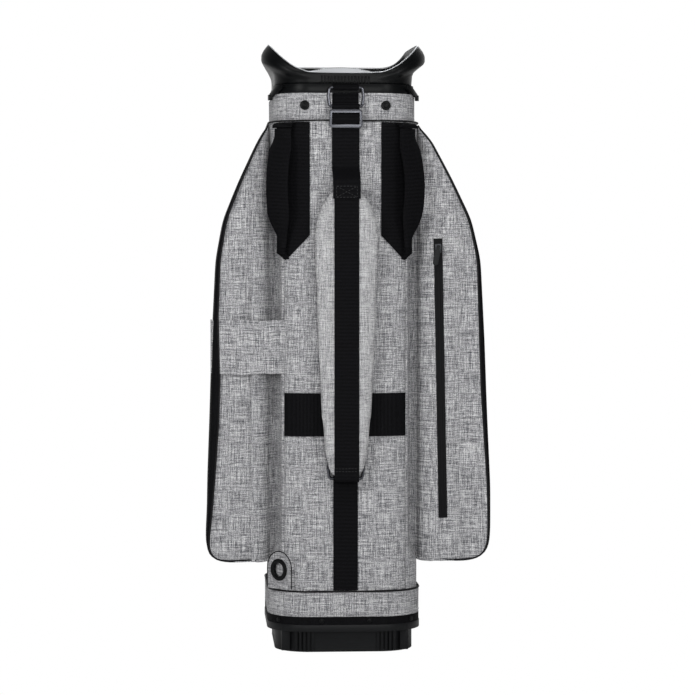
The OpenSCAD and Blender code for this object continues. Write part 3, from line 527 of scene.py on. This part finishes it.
Z_LOW = span("spine_panel")[0].z
GAP = 0.25
panels = (
    ("spine_panel", -SEAM_S, SEAM_S),
    ("right_side_panel", SEAM_S, ROUND / 2 - SEAM_S),
    ("front_panel", ROUND / 2 - SEAM_S, ROUND / 2 + SEAM_S),
    ("left_side_panel", ROUND / 2 + SEAM_S, ROUND - SEAM_S),
)
for node, s0, s1 in panels:
    sink = side_sink if "side" in node else seam_sink
    cloth = wrap(node + "_cloth", s0 + GAP, s1 - GAP, Z_LOW, Z_CUFF, 0, 2, sink)
    dress(cloth, HEATHER, CLOTH_SLOT, nodes=(node,))
seams = [
    [wall(s + off, z, -0.55) for z in range(round(Z_BODY) + 4, round(Z_CUFF) - 4, 20)]
    for s in (-SEAM_S, SEAM_S, ROUND / 2 - SEAM_S, ROUND / 2 + SEAM_S)
    for off in (-4.5, 4.5)
]
dress(stitches("panel_topstitch", seams, 0.35), THREAD_GREY, CLOTH_SLOT)


def band_sink(amount):
    """Sewn band: slightly crowned, with soft gathers"""

    def sink(s, z, edge):
        return amount * (0.6 + 0.9 * noise.noise(Vector((s / 22, z / 60, amount))))

    return sink


cuff = wrap("cuff_cloth", 0, ROUND, Z_CUFF, Z_BAND, CUFF_OUT, 2, band_sink(0.6), 3, 4, True)
dress(cuff, HEATHER, CLOTH_SLOT, nodes=("cuff_band",))
hem = wrap("hem_cloth", 0, ROUND, Z_HEM, Z_BODY - 1.6, HEM_OUT, 2.4, band_sink(0.5), 3, 4, True)
dress(hem, HEATHER, CLOTH_SLOT, nodes=("hem_band",))
trim = wrap("trim_tape", 0, ROUND, Z_TRIM, Z_HEM, HEM_OUT, 2.4, band_sink(0.25), 3, 3, True)
dress(trim, TRIM, GUSSET_SLOT, nodes=("base_trim_band",))
cord = tube("hem_cord", [ring_of(Z_BODY, HEM_OUT - 0.6, 0.8)], 1.5, True)
dress(cord, PIPING, PIPING_SLOT, nodes=("hem_piping",))
cord = tube("cuff_cord", [ring_of(Z_CUFF - 1.3, 0.6, 0.6)], 1.2, True)
dress(cord, PIPING, PIPING_SLOT, nodes=("cuff_piping",))
for name, out, heights in (
    ("cuff_topstitch", CUFF_OUT - 0.2, (Z_BAND - 4, Z_CUFF + 3.5)),
    ("hem_topstitch", HEM_OUT - 0.2, (Z_BODY - 5, Z_HEM + 3.5)),
):
    rows = [ring_of(z, out) for z in heights]
    dress(stitches(name, rows, 0.35), THREAD_GREY, CLOTH_SLOT)

# ---------- side pockets ----------

# Outline of each pocket from the middle of its bottom up to its top: share of its reach, height
POCKET_EDGE = {
    -1: (
        (0, 0), (0.3, 0.5), (0.6, -1), (0.85, 0), (0.97, 4), (1.03, 16), (1.03, 34), (1.01, 70),
        (1, 120), (0.965, 206), (0.925, 324), (0.86, 443), (0.74, 502), (0.47, 562), (0.17, 621),
        (0.02, 641),
    ),
    1: (
        (0, 0), (0.3, 0), (0.6, -1), (0.8, 0.5), (0.92, 6), (0.985, 20), (1, 45), (1, 108),
        (0.96, 206), (0.92, 324), (0.86, 443), (0.73, 502), (0.46, 562), (0.16, 621), (0.02, 641),
    ),
}
POCKET_OUT = {
    -1: -span("left_side_pocket")[0].x - HALF_W,
    1: span("right_side_pocket")[1].x - HALF_W,
}
# Width of the rounded edge that the black gusset covers, by height
EDGE_ROUND = {
    -1: ((132, 2.5), (170, 4), (250, 9), (330, 12), (400, 12), (490, 6), (640, 4), (770, 2)),
    1: ((132, 2.5), (170, 3.5), (260, 5), (380, 8), (450, 8), (600, 4.5), (770, 2)),
}
# Where the cloth lies still under a zip: the right pocket's on its near face, the left's on its far
NEAR_ZIP = 28
FAR_ZIP = 45
ROWS = 110
VALLEY_STEPS = 11
NEAR_STEPS = 36
EDGE_STEPS = 6
SIDE_STEPS = 20
FAR_STEPS = 32


def pocket_rows(side):
    """Reach and height of each row, from the middle of the pocket's bottom up to its top"""
    reach = POCKET_OUT[side]
    line = [Vector((r * reach, Z_POCKET + up, 0)) for r, up in POCKET_EDGE[side]]
    return rounded_path(line, ROWS, 4)


def still_by(x, zip_x):
    """1 at a zip, falling to 0 beside it, where the cloth is free to fold"""
    return math.exp(-(((x - zip_x) / 13) ** 2))


def folds(x, z, side):
    """How far the near face lies in: soft upright folds near the valley and slack in the cloth"""
    still = still_by(x, NEAR_ZIP) if side > 0 else 0
    upright = 0.5 + 0.5 * math.sin(x / 5.5 + z / 120 + side)
    deep = 4.2 * math.exp(-(((x - 20) / 20) ** 2)) * upright
    slack = 2.8 + 5 * noise.noise(Vector((x / 30, z / 85, side * 5)))
    sag = 1.2 * (0.5 + 0.5 * math.sin(x / 9 + 2 * noise.noise(Vector((x / 50, z / 90, 3)))))
    return max(0, (deep + slack + sag) * (1 - still) + 0.2)


def pocket_ring(side, r, z):
    """Plan of a pocket at one row, as three runs: near face, black edge, far face"""
    root = SIDE_HALF - 1
    near = root + (POCKET_NEAR - root) * min(1, r / 20)
    valley = min(26, 0.4 * r)
    edge = min(table(EDGE_ROUND[side], z), 0.45 * r)
    soft = min(1, r / 50)
    quarter = [math.pi / 2 * i / EDGE_STEPS for i in range(EDGE_STEPS + 1)]

    # The near face starts inside the side panel and rises out of the valley
    face = [(-SAG * soft, -(root - 6))]
    for i in range(VALLEY_STEPS):
        turn = math.pi / 2 * i / VALLEY_STEPS
        face.append((valley * (1 - math.cos(turn)), -(root + (near - root) * math.sin(turn))))
    for i in range(NEAR_STEPS + 1):
        x = valley + (r - edge - valley) * i / NEAR_STEPS
        drop = 2.5 * ease((x - (r - edge) + 9) / 9) * soft
        inward = folds(x, z, side) * soft * ease(i / 3) * ease((NEAR_STEPS - i) / 4)
        face.append((x, -near + inward + drop * 0.4))

    start_y = face[-1][1]
    black = [
        (r - edge + edge * math.sin(turn), start_y + edge * (1 - math.cos(turn)))
        for turn in quarter
    ]
    low, high = black[-1][1], POCKET_FAR - edge
    for i in range(1, SIDE_STEPS):
        bulge = 1.2 * math.sin(math.pi * i / SIDE_STEPS) * soft
        black.append((r + bulge, low + (high - low) * i / SIDE_STEPS))
    black += [(r - edge + edge * math.cos(turn), high + edge * math.sin(turn)) for turn in quarter]

    back = []
    for i in range(FAR_STEPS + 1):
        x = (r - edge) * (1 - i / FAR_STEPS)
        still = still_by(x, FAR_ZIP) if side < 0 else 0
        dent = 1.3 + 2.4 * noise.noise(Vector((x / 34, z / 120, 9 + side)))
        back.append((x, POCKET_FAR - max(0, dent) * (1 - still) * soft * ease(i / 4) - 0.3))
    return face, black, back


def upright_chart(p):
    """Chart of a piece that faces the spine or the front"""
    return (p.x, p.z)


def side_chart(p):
    """Chart of a piece that faces sideways"""
    return (p.y, p.z)


POCKET_PARTS = (
    ("near_face", HEATHER, CLOTH_SLOT, upright_chart, "side_pocket"),
    ("gusset", GUSSET, GUSSET_SLOT, side_chart, "pocket_gusset"),
    ("far_face", HEATHER, CLOTH_SLOT, upright_chart, None),
)
for side, word in ((-1, "left"), (1, "right")):
    rows = pocket_rows(side)
    rings = [pocket_ring(side, max(p.x, 0.5), p.y) for p in rows]
    heights = [p.y for p in rows]

    def at(part, col, row, side=side, rings=rings, heights=heights):
        x, y = rings[row][part][col]
        return Vector((side * (HALF_W + x), y, heights[row]))

    for part, (part_name, stuff, slot, chart, node) in enumerate(POCKET_PARTS):
        count = len(rings[0][part]) - 1

        def place(u, v, part=part, count=count, side=side, at=at):
            return at(part, round((u if side > 0 else 1 - u) * count), round(v * ROWS))

        piece = lofted(f"{word}_pocket_{part_name}", count, ROWS, place, (1, 1), 1.6)
        flat_chart(piece, chart)
        dress(piece, stuff, slot, nodes=(f"{word}_{node}",) if node else ())
    lines = [[at(part, col, row) for row in range(8, ROWS + 1)] for part, col in ((0, -1), (2, 0))]
    dress(tube(f"{word}_pocket_cord", lines, 1.3), PIPING, PIPING_SLOT)

# ---------- front pockets ----------


def crown(a):
    """1 over most of a face, falling to 0 at its edges"""
    return 1 - abs(2 * a - 1) ** 14


def bunched(a):
    """Crowds the points of a grid towards its edges, where the pocket turns"""
    return 0.5 - 0.5 * math.cos(math.pi * (0.35 * a + 0.65 * (0.5 - 0.5 * math.cos(math.pi * a))))


def squared(swing):
    """Sine or cosine made into the side of a rounded rectangle"""
    return math.copysign(min(1, abs(1.25 * swing)), swing)


def front_pocket(node):
    """Boxy zipped pocket that stands out of the front panel, rounded at its edges"""
    low, high = span(node)
    wide, tall, face = high.x - low.x, high.z - low.z, high.y
    zip_x = wide / 2 - 26

    def place(u, v):
        x = wide * (0.5 - u)
        over = max(0, abs(x) - SPINE_HALF)
        root = SIDE_HALF + math.sqrt(max(0, CORNER**2 - over**2)) - 1.5
        z = low.z + tall * v
        slack = 0.3
        if abs(x + zip_x) > 14:
            slack = 1.2 + 1.6 * noise.noise(Vector((x / 40, z / 60, face)))
        y = root + (face - slack * crown(u) - root) * (crown(u) * crown(v)) ** 0.7
        return Vector((x, y, z))

    def bunched_place(u, v):
        return place(bunched(u), bunched(v))

    piece = lofted(node + "_cloth", 70, 90, bunched_place, (wide, tall), 1.6)
    flat_chart(piece, upright_chart)
    dress(piece, HEATHER, CLOTH_SLOT, nodes=(node,))
    turns = [2 * math.pi * i / 160 for i in range(160)]
    rim = [
        place(0.5 + 0.474 * squared(math.cos(a)), 0.5 + 0.482 * squared(math.sin(a))) for a in turns
    ]
    dress(tube(node + "_cord", [rim], 1.5, True), PIPING, PIPING_SLOT)


front_pocket("front_ball_pocket")
front_pocket("front_upper_pocket")

# ---------- umbrella band, tab and eyelet ----------

low, high = span("umbrella_band")
BAND_Z, BAND_H = low.z, high.z - low.z
outline = [(up, share) for share, up in POCKET_EDGE[-1]]
BAND_REACH = POCKET_OUT[-1] * table(outline, BAND_Z + 20 - Z_POCKET)
BAND_COLS = 60
over = CORNER + 1.9
corner_turns = [math.radians(34 + 2 * i) for i in range(7)]
band_run = [
    Vector((-SPINE_HALF - over * math.sin(a), -SIDE_HALF - over * math.cos(a), 0))
    for a in corner_turns
] + [
    Vector((-HALF_W - 12, -POCKET_NEAR - 6, 0)),
    Vector((-HALF_W - BAND_REACH + 13, -POCKET_NEAR - 2.2, 0)),
    Vector((-HALF_W - BAND_REACH - 1.2, -POCKET_NEAR + 13, 0)),
    Vector((-HALF_W - BAND_REACH - 2.2, -POCKET_NEAR + 32, 0)),
]
band_line = rounded_path(band_run, BAND_COLS, 2)
band_long = sum((b - a).length for a, b in zip(band_line, band_line[1:]))


def band_place(u, v):
    """Point on the band, u along it from the pocket's edge and v up it; it droops in the middle"""
    at = band_line[round((1 - u) * BAND_COLS)].copy()
    droop = math.sin(math.pi * (1 - u)) ** 2
    ripple = 1.6 * noise.noise(Vector((u * 5, v * 1.5, 2)))
    at.z = BAND_Z + BAND_H * v + (ripple - 1.4 * droop * (1 - v))
    at.y -= 1.2 * droop * (0.5 + noise.noise(Vector((u * 4, v * 2, 7)))) - 0.8
    return at


band = lofted("umbrella_band_cloth", BAND_COLS, 18, band_place, (band_long, BAND_H), 1.5)
dress(band, HEATHER, CLOTH_SLOT, nodes=("umbrella_band",))
proud = Vector((0, -0.2, 0))
rows = [[band_place(i / BAND_COLS, v) + proud for i in range(2, 59)] for v in (0.05, 0.95)]
dress(stitches("umbrella_band_topstitch", rows, 0.35), THREAD_GREY, CLOTH_SLOT)

TAB_TURN = math.radians(47)


def corner_point(side, turn, out, across, z):
    """Point on a spine corner, out from the wall and across to the right of its middle"""
    way = Vector((side * math.sin(turn), -math.cos(turn), 0))
    right = Vector((-way.y, way.x, 0))
    middle = Vector((side * SPINE_HALF, -SIDE_HALF, z))
    return middle + way * (CORNER + out) + right * across


tab = copy_of("umbrella_tab", 0.8, 2)
flat_chart(tab, lambda p: (p.x - p.y, p.z))
dress(tab, HEATHER, CLOTH_SLOT, nodes=("umbrella_tab",))
tab_low, tab_high = span("umbrella_tab")
TAB_HALF = 25
tab_mid = tab_high.z - TAB_HALF


def tab_run(inset):
    """Outline of the sewn tab, the inset inside its edge"""
    half = TAB_HALF - inset
    turns = [math.radians(9 * i) for i in range(21)]
    line = [(half * math.cos(a), tab_mid + half * math.sin(a)) for a in turns]
    line = [(half, tab_low.z + 2), *line, (-half, tab_low.z + 2)]
    return [corner_point(-1, TAB_TURN, 3.1, a, z) for a, z in line]


dress(stitches("tab_topstitch", [tab_run(3), tab_run(6)], 0.4), THREAD_GREY, CLOTH_SLOT)
dress(tube("tab_cord", [tab_run(0.2)], 0.8), PIPING, PIPING_SLOT)
dress(copy_of("umbrella_eyelet", 0.9, 3), BLACK_ABS, MOULDED_SLOT, nodes=("umbrella_eyelet",))

# ---------- base and collar ----------

# Moulded pieces: node, finish, slot, and how the CAD shape is rounded
MOULDED = (
    ("base_cup", BASE_ABS, MOULDED_SLOT, {"bevel": 0.8}),
    ("base_rivets", BLACK_ABS, MOULDED_SLOT, {"bevel": 0.6}),
    ("collar_band", BLACK_ABS, MOULDED_SLOT, {"bevel": 0.7}),
    ("collar_top", BLACK_ABS, MOULDED_SLOT, {"fine": 1, "angle": 50}),
    # The rim's lip is painted pale for the highlight on its lit top edge
    ("collar_lip", LIP_PAINTED_HIGHLIGHT, "grey_lip", {"fine": 1, "angle": 50}),
    ("collar_ribs", BLACK_ABS, MOULDED_SLOT, {"bevel": 0.6}),
    ("collar_clips", BLACK_ABS, MOULDED_SLOT, {"bevel": 0.9}),
    ("hood_studs", BLACK_ABS, MOULDED_SLOT, {"bevel": 0.7, "steps": 3}),
)
for node, stuff, slot, rounding in MOULDED:
    dress(copy_of(node, **rounding), stuff, slot, nodes=(node,))
bars = copy_of("divider_cross_bars", 3.4, 4)
dress(bars, MESH, "divider_mesh", nodes=("divider_cross_bars",))
bars = copy_of("divider_short_bars", 2.6, 3)
dress(bars, DIVIDER_FOAM, "divider_foam", nodes=("divider_short_bars",))

# ---------- webbing ----------

RIGHT = Vector((1, 0, 0))


def ribbon(name, line, half, thick, right=RIGHT, count=None, curl=0.0, cols=12, passes=2):
    """Flat webbing along a run of points on its outer face; half(t) is its half width"""
    total = sum((b - a).length for a, b in zip(line, line[1:]))
    count = count or max(6, round(total / 3))
    run = rounded_path(line, count, passes)
    width = half if callable(half) else lambda t: half

    def place(u, v):
        i = round(v * count)
        ahead, behind = run[min(count, i + 1)], run[max(0, i - 1)]
        out = right.cross(ahead - behind).normalized()
        a = 2 * u - 1
        return run[i] + right * (a * width(v)) - out * (curl * a * a + 0.35 * abs(a) ** 9)

    return lofted(name, cols, count, place, (2 * width(0.5), total), thick)


def side_run(points):
    """Run of points in the bag's middle plane, given as (depth, height)"""
    return [Vector((0, y, z)) for y, z in points]


def loop_round(y, z, radius, start, stop, steps=16):
    """Side view of an arc; angles in degrees, 0 towards +Y and 90 up"""
    turns = [math.radians(start + (stop - start) * i / steps) for i in range(steps + 1)]
    return [(y + radius * math.cos(a), z + radius * math.sin(a)) for a in turns]


WEB_HALF = 18
STRAP_HALF = 20
strip_front = STRAP_Y + LOOP_R - 2 * WEB_T
lap_y = PAD_FRONT - 2 * WEB_T - 0.2
upper = side_run(
    [(lap_y, PAD_TOP - 22), (lap_y, PAD_TOP - 2), (lap_y + 3, PAD_TOP + 7),
     (strip_front - 1.5, PAD_TOP + 24), (strip_front, PAD_TOP + 34), (strip_front, Z_TOP_BAR - 14),
     (STRAP_Y - LOOP_R, Z_TOP_BAR)]
    + loop_round(STRAP_Y, Z_TOP_BAR, LOOP_R, 180, 0)
    + [(STRAP_Y + LOOP_R, Z_TOP_BAR - 12), (STRAP_Y + LOOP_R, PAD_TOP + 22)]
)
strap = ribbon("strap_upper_web", upper, STRAP_HALF, WEB_T - 0.1, passes=1)
dress(strap, WEBBING, WEB_SLOT, "strap", ("strap_webbing",))
front_y = PAD_FRONT - WEB_T
down = side_run(
    loop_round(STRAP_Y, Z_LOW_BAR, LOOP_R, 180, -90)
    + [(STRAP_Y - 6, PAD_LOW - 2.6), (front_y + 5, PAD_LOW - 2.2), (front_y + 1, PAD_LOW + 0.5),
       (front_y, PAD_LOW + 7), (front_y, PAD_TOP - 3)]
)
strap = ribbon("strap_pad_web", down, WEB_HALF, WEB_T - 0.2, passes=1)
dress(strap, WEBBING, WEB_SLOT, "strap", ("pad_webbing",))
box_low, box_high = PAD_TOP - 20, PAD_TOP - 4
box = [(-15, box_low), (15, box_low), (15, box_high), (-15, box_high), (-15, box_low)]
runs = [box, [(-15, box_low), (15, box_high)], [(-15, box_high), (15, box_low)]]
for low_z in (PAD_LOW + 14, PAD_LOW + 18):
    runs.append([(-16, low_z), (16, low_z)])
box_runs = [
    [Vector((x, (lap_y if z > PAD_TOP - 30 else front_y) - 0.1, z)) for x, z in run] for run in runs
]
dress(stitches("strap_box_stitch", box_runs, 0.4), THREAD, WEB_SLOT, "strap")

KEEPER_HALF = 19


def keeper(node, z, face_y, tail):
    """Webbing folded round a ring's upper bar and sewn to the bag above it"""
    run = side_run(
        [(STRAP_Y + LOOP_R, z + tail * 0.5)]
        + loop_round(STRAP_Y, z, LOOP_R, 0, -180)
        + [(STRAP_Y - LOOP_R + 0.6, z + 3), (face_y - WEB_T - 0.6, z + min(0.75 * tail, 12)),
           (face_y - WEB_T, z + tail)]
    )
    piece = ribbon(node + "_web", run, KEEPER_HALF, WEB_T - 0.2, passes=1)
    dress(piece, WEBBING, WEB_SLOT, nodes=(node,))


for node, bar_z in (("top_ring_keeper", Z_TOP_RING), ("lower_ring_keeper", Z_LOW_RING)):
    high = span(node)[1]
    keeper(node, bar_z, high.y, high.z - bar_z)


def web_sink(s, z, edge):
    """Webbing sewn flat, its edges a little lower"""
    return 0.3 * math.exp(-((edge / 1.5) ** 2)) + 0.15


low, high = span("cross_webbing")
reach = SPINE_HALF + CORNER * math.asin((high.x - SPINE_HALF) / CORNER)
cross = wrap("cross_web", -reach, reach, low.z, high.z, WEB_T, WEB_T - 0.2, web_sink, 3, 4)
dress(cross, CROSS_WEBBING, WEB_SLOT, nodes=("cross_webbing",))
low, high = span("ring_backing")
backing_out = CUFF_OUT + WEB_T
backing = wrap(
    "ring_backing_web", low.x, high.x, low.z, high.z, backing_out, WEB_T - 0.2, web_sink, 3, 4
)
dress(backing, WEBBING, WEB_SLOT, nodes=("ring_backing",))
low, high = span("spine_webbing")
tail = wrap("spine_web", low.x, high.x, low.z, high.z, WEB_T, WEB_T - 0.2, web_sink, 3, 6)
dress(tail, WEBBING, WEB_SLOT, nodes=("spine_webbing",))
low, high = span("buckle_fold")
BUCKLE_Y, BUCKLE_Z = (low.y + high.y) / 2, (low.z + high.z) / 2
FOLD_R, FOLD_H = (high.y - low.y) / 2, (high.z - low.z) / 2
fold = []
for i in range(35):
    a = math.radians(-80 + 10 * i)
    rise = math.copysign(abs(math.sin(a)) ** 0.7, math.sin(a))
    fold.append(Vector((0, BUCKLE_Y + FOLD_R * math.cos(a), BUCKLE_Z + FOLD_H * rise)))
fold.reverse()
piece = ribbon("buckle_fold_web", fold, STRAP_HALF - 1, WEB_T - 0.2, passes=1)
dress(piece, WEBBING, WEB_SLOT, "buckle", ("buckle_fold",))

# ---------- handles ----------

HANDLE_OFF = 7  # the hinge axis stands this far out of the corner's wall
BARREL_R = 4
BARREL_H = 12
INNER = HANDLE_TOP - HANDLE_LOW - 0.6 - BARREL_H
BOW = 20  # how far the handle bows out
BOW_R = ((INNER / 2) ** 2 + BOW**2) / (2 * BOW)
MID_Z = (HANDLE_TOP + HANDLE_LOW) / 2


def barrel(name, side, z0, z1, radius):
    """Rolled end of webbing, upright"""
    at = corner_point(side, HANDLE_TURN, HANDLE_OFF, 0, (z0 + z1) / 2) * MM
    bpy.ops.object.select_all(action="DESELECT")
    bpy.ops.mesh.primitive_cylinder_add(
        vertices=32, radius=radius * MM, depth=(z1 - z0) * MM, location=at
    )
    obj = bpy.context.object
    obj.name = name
    bpy.ops.object.transform_apply(location=True, rotation=True, scale=True)
    edges = {"limit_method": "ANGLE", "angle_limit": math.radians(50)}
    apply(obj, "BEVEL", width=0.8 * MM, segments=2, **edges)
    return smooth(obj, 50)


def joined(name, *parts):
    """One mesh out of several"""
    only(parts[0])
    for part in parts:
        part.select_set(True)
    bpy.ops.object.join()
    parts[0].name = name
    return parts[0]


for side, word in ((-1, "left"), (1, "right")):
    way = Vector((side * math.sin(HANDLE_TURN), -math.cos(HANDLE_TURN), 0))
    right = Vector((-way.y, way.x, 0))
    bend = []
    for i in range(41):
        dz = ((HANDLE_TOP - HANDLE_LOW) / 2 - 0.6) * (2 * i / 40 - 1)
        out = math.sqrt(BOW_R**2 - dz**2) - (BOW_R - BOW)
        out = max(out, 4.4) + 0.4 * math.sin(dz / 17 + side)
        bend.append(corner_point(side, HANDLE_TURN, HANDLE_OFF + out + 1.6, 0, MID_Z + dz))

    def half(t):
        """Half width from the lower end to the upper, narrowed at both"""
        return 5 + 14 * ease((t + 0.02) / 0.34) - 4.5 * ease((t - 0.82) / 0.13)

    strap = ribbon(f"{word}_handle_strap", bend, half, 3, right, 60, 2.4, 14, 1)
    ends = [
        barrel(f"{word}_top_end", side, HANDLE_TOP - 0.3 - BARREL_H, HANDLE_TOP - 0.3, BARREL_R),
        barrel(f"{word}_low_end", side, HANDLE_LOW + 0.3, HANDLE_LOW + 0.3 + BARREL_H, BARREL_R),
    ]
    for end in ends:
        flat_chart(end, upright_chart)
    piece = joined(f"{word}_handle_web", strap, *ends)
    dress(piece, WEBBING, WEB_SLOT, f"{word}_handle", (f"{word}_handle",))

    inner_x, outer_x = SEAM_X - 38, SEAM_X + 8
    low_z = span(f"{word}_handle_anchors")[0].z
    patch_top = Z_CUFF - 3.4

    def patch_place(u, v, side=side, low_z=low_z):
        """Point on the sewn patch, whose lower end is cut to a point"""
        z = low_z + (patch_top - low_z) * v
        x_in = inner_x + 34 * min(1, max(0, (low_z + 36 - z) / 36))
        x_out = outer_x - 12 * min(1, max(0, (low_z + 10 - z) / 10))
        share = u if side > 0 else 1 - u
        x = x_in + (x_out - x_in) * share
        s = x if x < SPINE_HALF else SPINE_HALF + CORNER * math.asin((x - SPINE_HALF) / CORNER)
        return wall(side * s, z, WEB_T)

    patch_size = (56, patch_top - low_z)
    patch = lofted(f"{word}_handle_patch", 22, 60, patch_place, patch_size, WEB_T - 0.2)
    stubs = [
        barrel(f"{word}_top_stub", side, HANDLE_TOP, HANDLE_TOP + 7.8, BARREL_R),
        barrel(f"{word}_low_stub", side, HANDLE_LOW - 8, HANDLE_LOW - 0.2, BARREL_R),
    ]
    # Webbing over each stub, by half width and (out, height)
    top_run = [
        (HANDLE_OFF + 5.6, HANDLE_TOP + 0.1), (HANDLE_OFF + 5.4, HANDLE_TOP + 4),
        (HANDLE_OFF + 1, HANDLE_TOP + 7.6), (2.6, Z_CUFF - 3.6),
    ]
    low_run = [
        (2.3, HANDLE_LOW - 15), (HANDLE_OFF - 2, HANDLE_LOW - 9),
        (HANDLE_OFF + 5.2, HANDLE_LOW - 5), (HANDLE_OFF + 5.4, HANDLE_LOW - 0.4),
    ]
    belts = (("top_belt", 17, top_run), ("low_belt", 5, low_run))
    for belt, wide, run in belts:
        line = [corner_point(side, HANDLE_TURN, out, 0, z) for out, z in run]
        stubs.append(ribbon(f"{word}_{belt}", line, wide, 2, right, 12, passes=1))
    for stub in stubs:
        flat_chart(stub, upright_chart)
    piece = joined(f"{word}_handle_base_web", patch, *stubs)
    dress(piece, WEBBING, WEB_SLOT, nodes=(f"{word}_handle_anchors",))

# ---------- shoulder pad ----------

PAD_MID = (PAD_FRONT + PAD_BACK) / 2


def swollen(obj, voxel, cap, pressure=4.0):
    """Swells a shape as sewn foam: remeshed, blown up as cloth, held to a limit, smoothed"""
    apply(obj, "REMESH", mode="VOXEL", voxel_size=voxel * MM)
    before = [point.co.copy() for point in obj.data.vertices]
    only(obj)
    cloth = obj.modifiers.new("swell", "CLOTH")
    cloth.settings.use_pressure = True
    cloth.settings.uniform_pressure_force = pressure
    cloth.settings.quality = 6
    cloth.settings.mass = 0.3
    cloth.settings.effector_weights.gravity = 0
    for step in range(1, 21):
        bpy.context.scene.frame_set(step)
    bpy.ops.object.modifier_apply(modifier=cloth.name)
    bpy.context.scene.frame_set(1)
    for point, old in zip(obj.data.vertices, before):
        move = point.co - old
        if move.length > cap * MM:
            point.co = old + move.normalized() * cap * MM
    apply(obj, "SMOOTH", factor=0.5, iterations=3)
    apply(obj, "SUBSURF", levels=1, render_levels=1)
    return smooth(obj, 60)


pad = copy_of("shoulder_pad")
pad.name = "shoulder_pad_cloth"
PAD_IN = 3.2  # the pad starts this much smaller, to swell into its size
pad_half = span("shoulder_pad")[1].x
for point in pad.data.vertices:
    at = point.co / MM
    at.x *= 1 - PAD_IN / pad_half
    at.y = PAD_MID + (at.y - PAD_MID) * 0.72
    at.z += PAD_IN * (1 if at.z < (PAD_TOP + PAD_LOW) / 2 else -1)
    point.co = at * MM
swollen(pad, voxel=5, cap=5)
# The webbing presses the pad's outer face flat, and the spine keeps its back flat
for point in pad.data.vertices:
    at = point.co / MM
    if at.y < PAD_MID:
        pressed = ease((WEB_HALF + 9 - abs(at.x)) / 9)
        at.y += pressed * max(0, PAD_FRONT + 0.1 - at.y)
        at.y += 0.5 * noise.noise(Vector((at.x / 16, at.z / 45, 4)))
    else:
        at.y = min(at.y, PAD_BACK + 1)
    point.co = at * MM
flat_chart(pad, lambda p: (p.x + 0.4 * p.y, p.z))
# The pad wears the lit copy of the heather cloth: its paler colour is painted light
dress(pad, PAD_CLOTH_PAINTED_LIT, "pad_fabric", "strap", ("shoulder_pad",))

# ---------- metal, zips and what is inside ----------

# CAD nodes shown as they are, in a finish of their own
CARRIED = (
    (("top_ring", "lower_ring"), RING_METAL),
    (("base_pad",), FOAM),
    (("divider_cross_walls", "divider_short_walls"), LINER),
    (("stay_rods",), STAY),
)
for nodes, stuff in CARRIED:
    for node in nodes:
        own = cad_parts[node]
        own.data.materials.clear()
        own.data.materials.append(stuff)
buckle = copy_of("strap_buckle", 1.2, 3)
dress(buckle, BUCKLE_METAL, "buckle_metal", "buckle", ("strap_buckle",))
for word in ("right", "left", "ball", "upper"):
    dress(copy_of(f"{word}_zip_chain", 0.4, 2), ZIP_TAPE, "zip_nylon", nodes=(f"{word}_zip_chain",))
    slider = copy_of(f"{word}_zip_slider", 0.5, 2)
    dress(slider, ZIP_METAL, "zip_metal", f"{word}_slider", (f"{word}_zip_slider",))
    puller = copy_of(f"{word}_zip_puller", 0.4, 2)
    dress(puller, ZIP_PULL, "zip_pull", f"{word}_puller", (f"{word}_zip_puller",))

# ---------- floor and light ----------

bpy.ops.object.select_all(action="DESELECT")
bpy.ops.mesh.primitive_plane_add(size=12, location=(0, 0, 0))
floor = bpy.context.object
floor.name = "floor"
# Matt painted board, near white: it returns soft light from below and takes no highlight
floor.data.materials.append(material("studio_floor_matte", "#f4f4f4", 0.9)[0])
# Its shading would show as a grey field against the white studio
floor.visible_camera = False
world = bpy.data.worlds.new("studio")
world.use_nodes = True
# The studio is white to look at, dim on the spine's side and bright behind the bag
tree = world.node_tree
background = tree.nodes["Background"]
background.inputs["Color"].default_value = (1, 1, 1, 1)
way = add(tree, "ShaderNodeTexCoord", out="Generated")
way_back = add(tree, "ShaderNodeSeparateXYZ", {0: way}, "Y")
kit = {"Value": way_back, "From Min": 0.0, "From Max": 0.7, "To Min": 0.1, "To Max": 0.95}
dimmed = add(tree, "ShaderNodeMapRange", kit, "Result")
seen = add(tree, "ShaderNodeLightPath", out="Is Camera Ray")
strength = add(tree, "ShaderNodeMath", {0: dimmed, 1: seen}, 0, operation="MAXIMUM")
tree.links.new(strength, background.inputs["Strength"])
bpy.context.scene.world = world
bpy.context.scene.view_settings.view_transform = "Standard"


def softbox(name, place, size, power):
    """Large area light that faces the bag"""
    data = bpy.data.lights.new(name, "AREA")
    data.shape, data.size, data.size_y, data.energy = "RECTANGLE", size[0], size[1], power
    obj = bpy.data.objects.new(name, data)
    bpy.context.collection.objects.link(obj)
    obj.location = place
    obj.rotation_euler = (Vector(place) - Vector((0, 0, 0.45))).to_track_quat("Z", "Y").to_euler()


softbox("left_light", (-1.8, -2.6, 1.3), (0.5, 1.4), 34)
softbox("right_light", (1.5, -2.8, 1.3), (0.5, 1.4), 22)
softbox("top_light", (-0.2, -1.8, 2.6), (0.8, 0.6), 18)
softbox("front_light", (0.1, -3.4, 0.9), (0.6, 0.6), 24)
softbox("back_light", (0.4, 2.4, 2.4), (2.0, 1.2), 20)
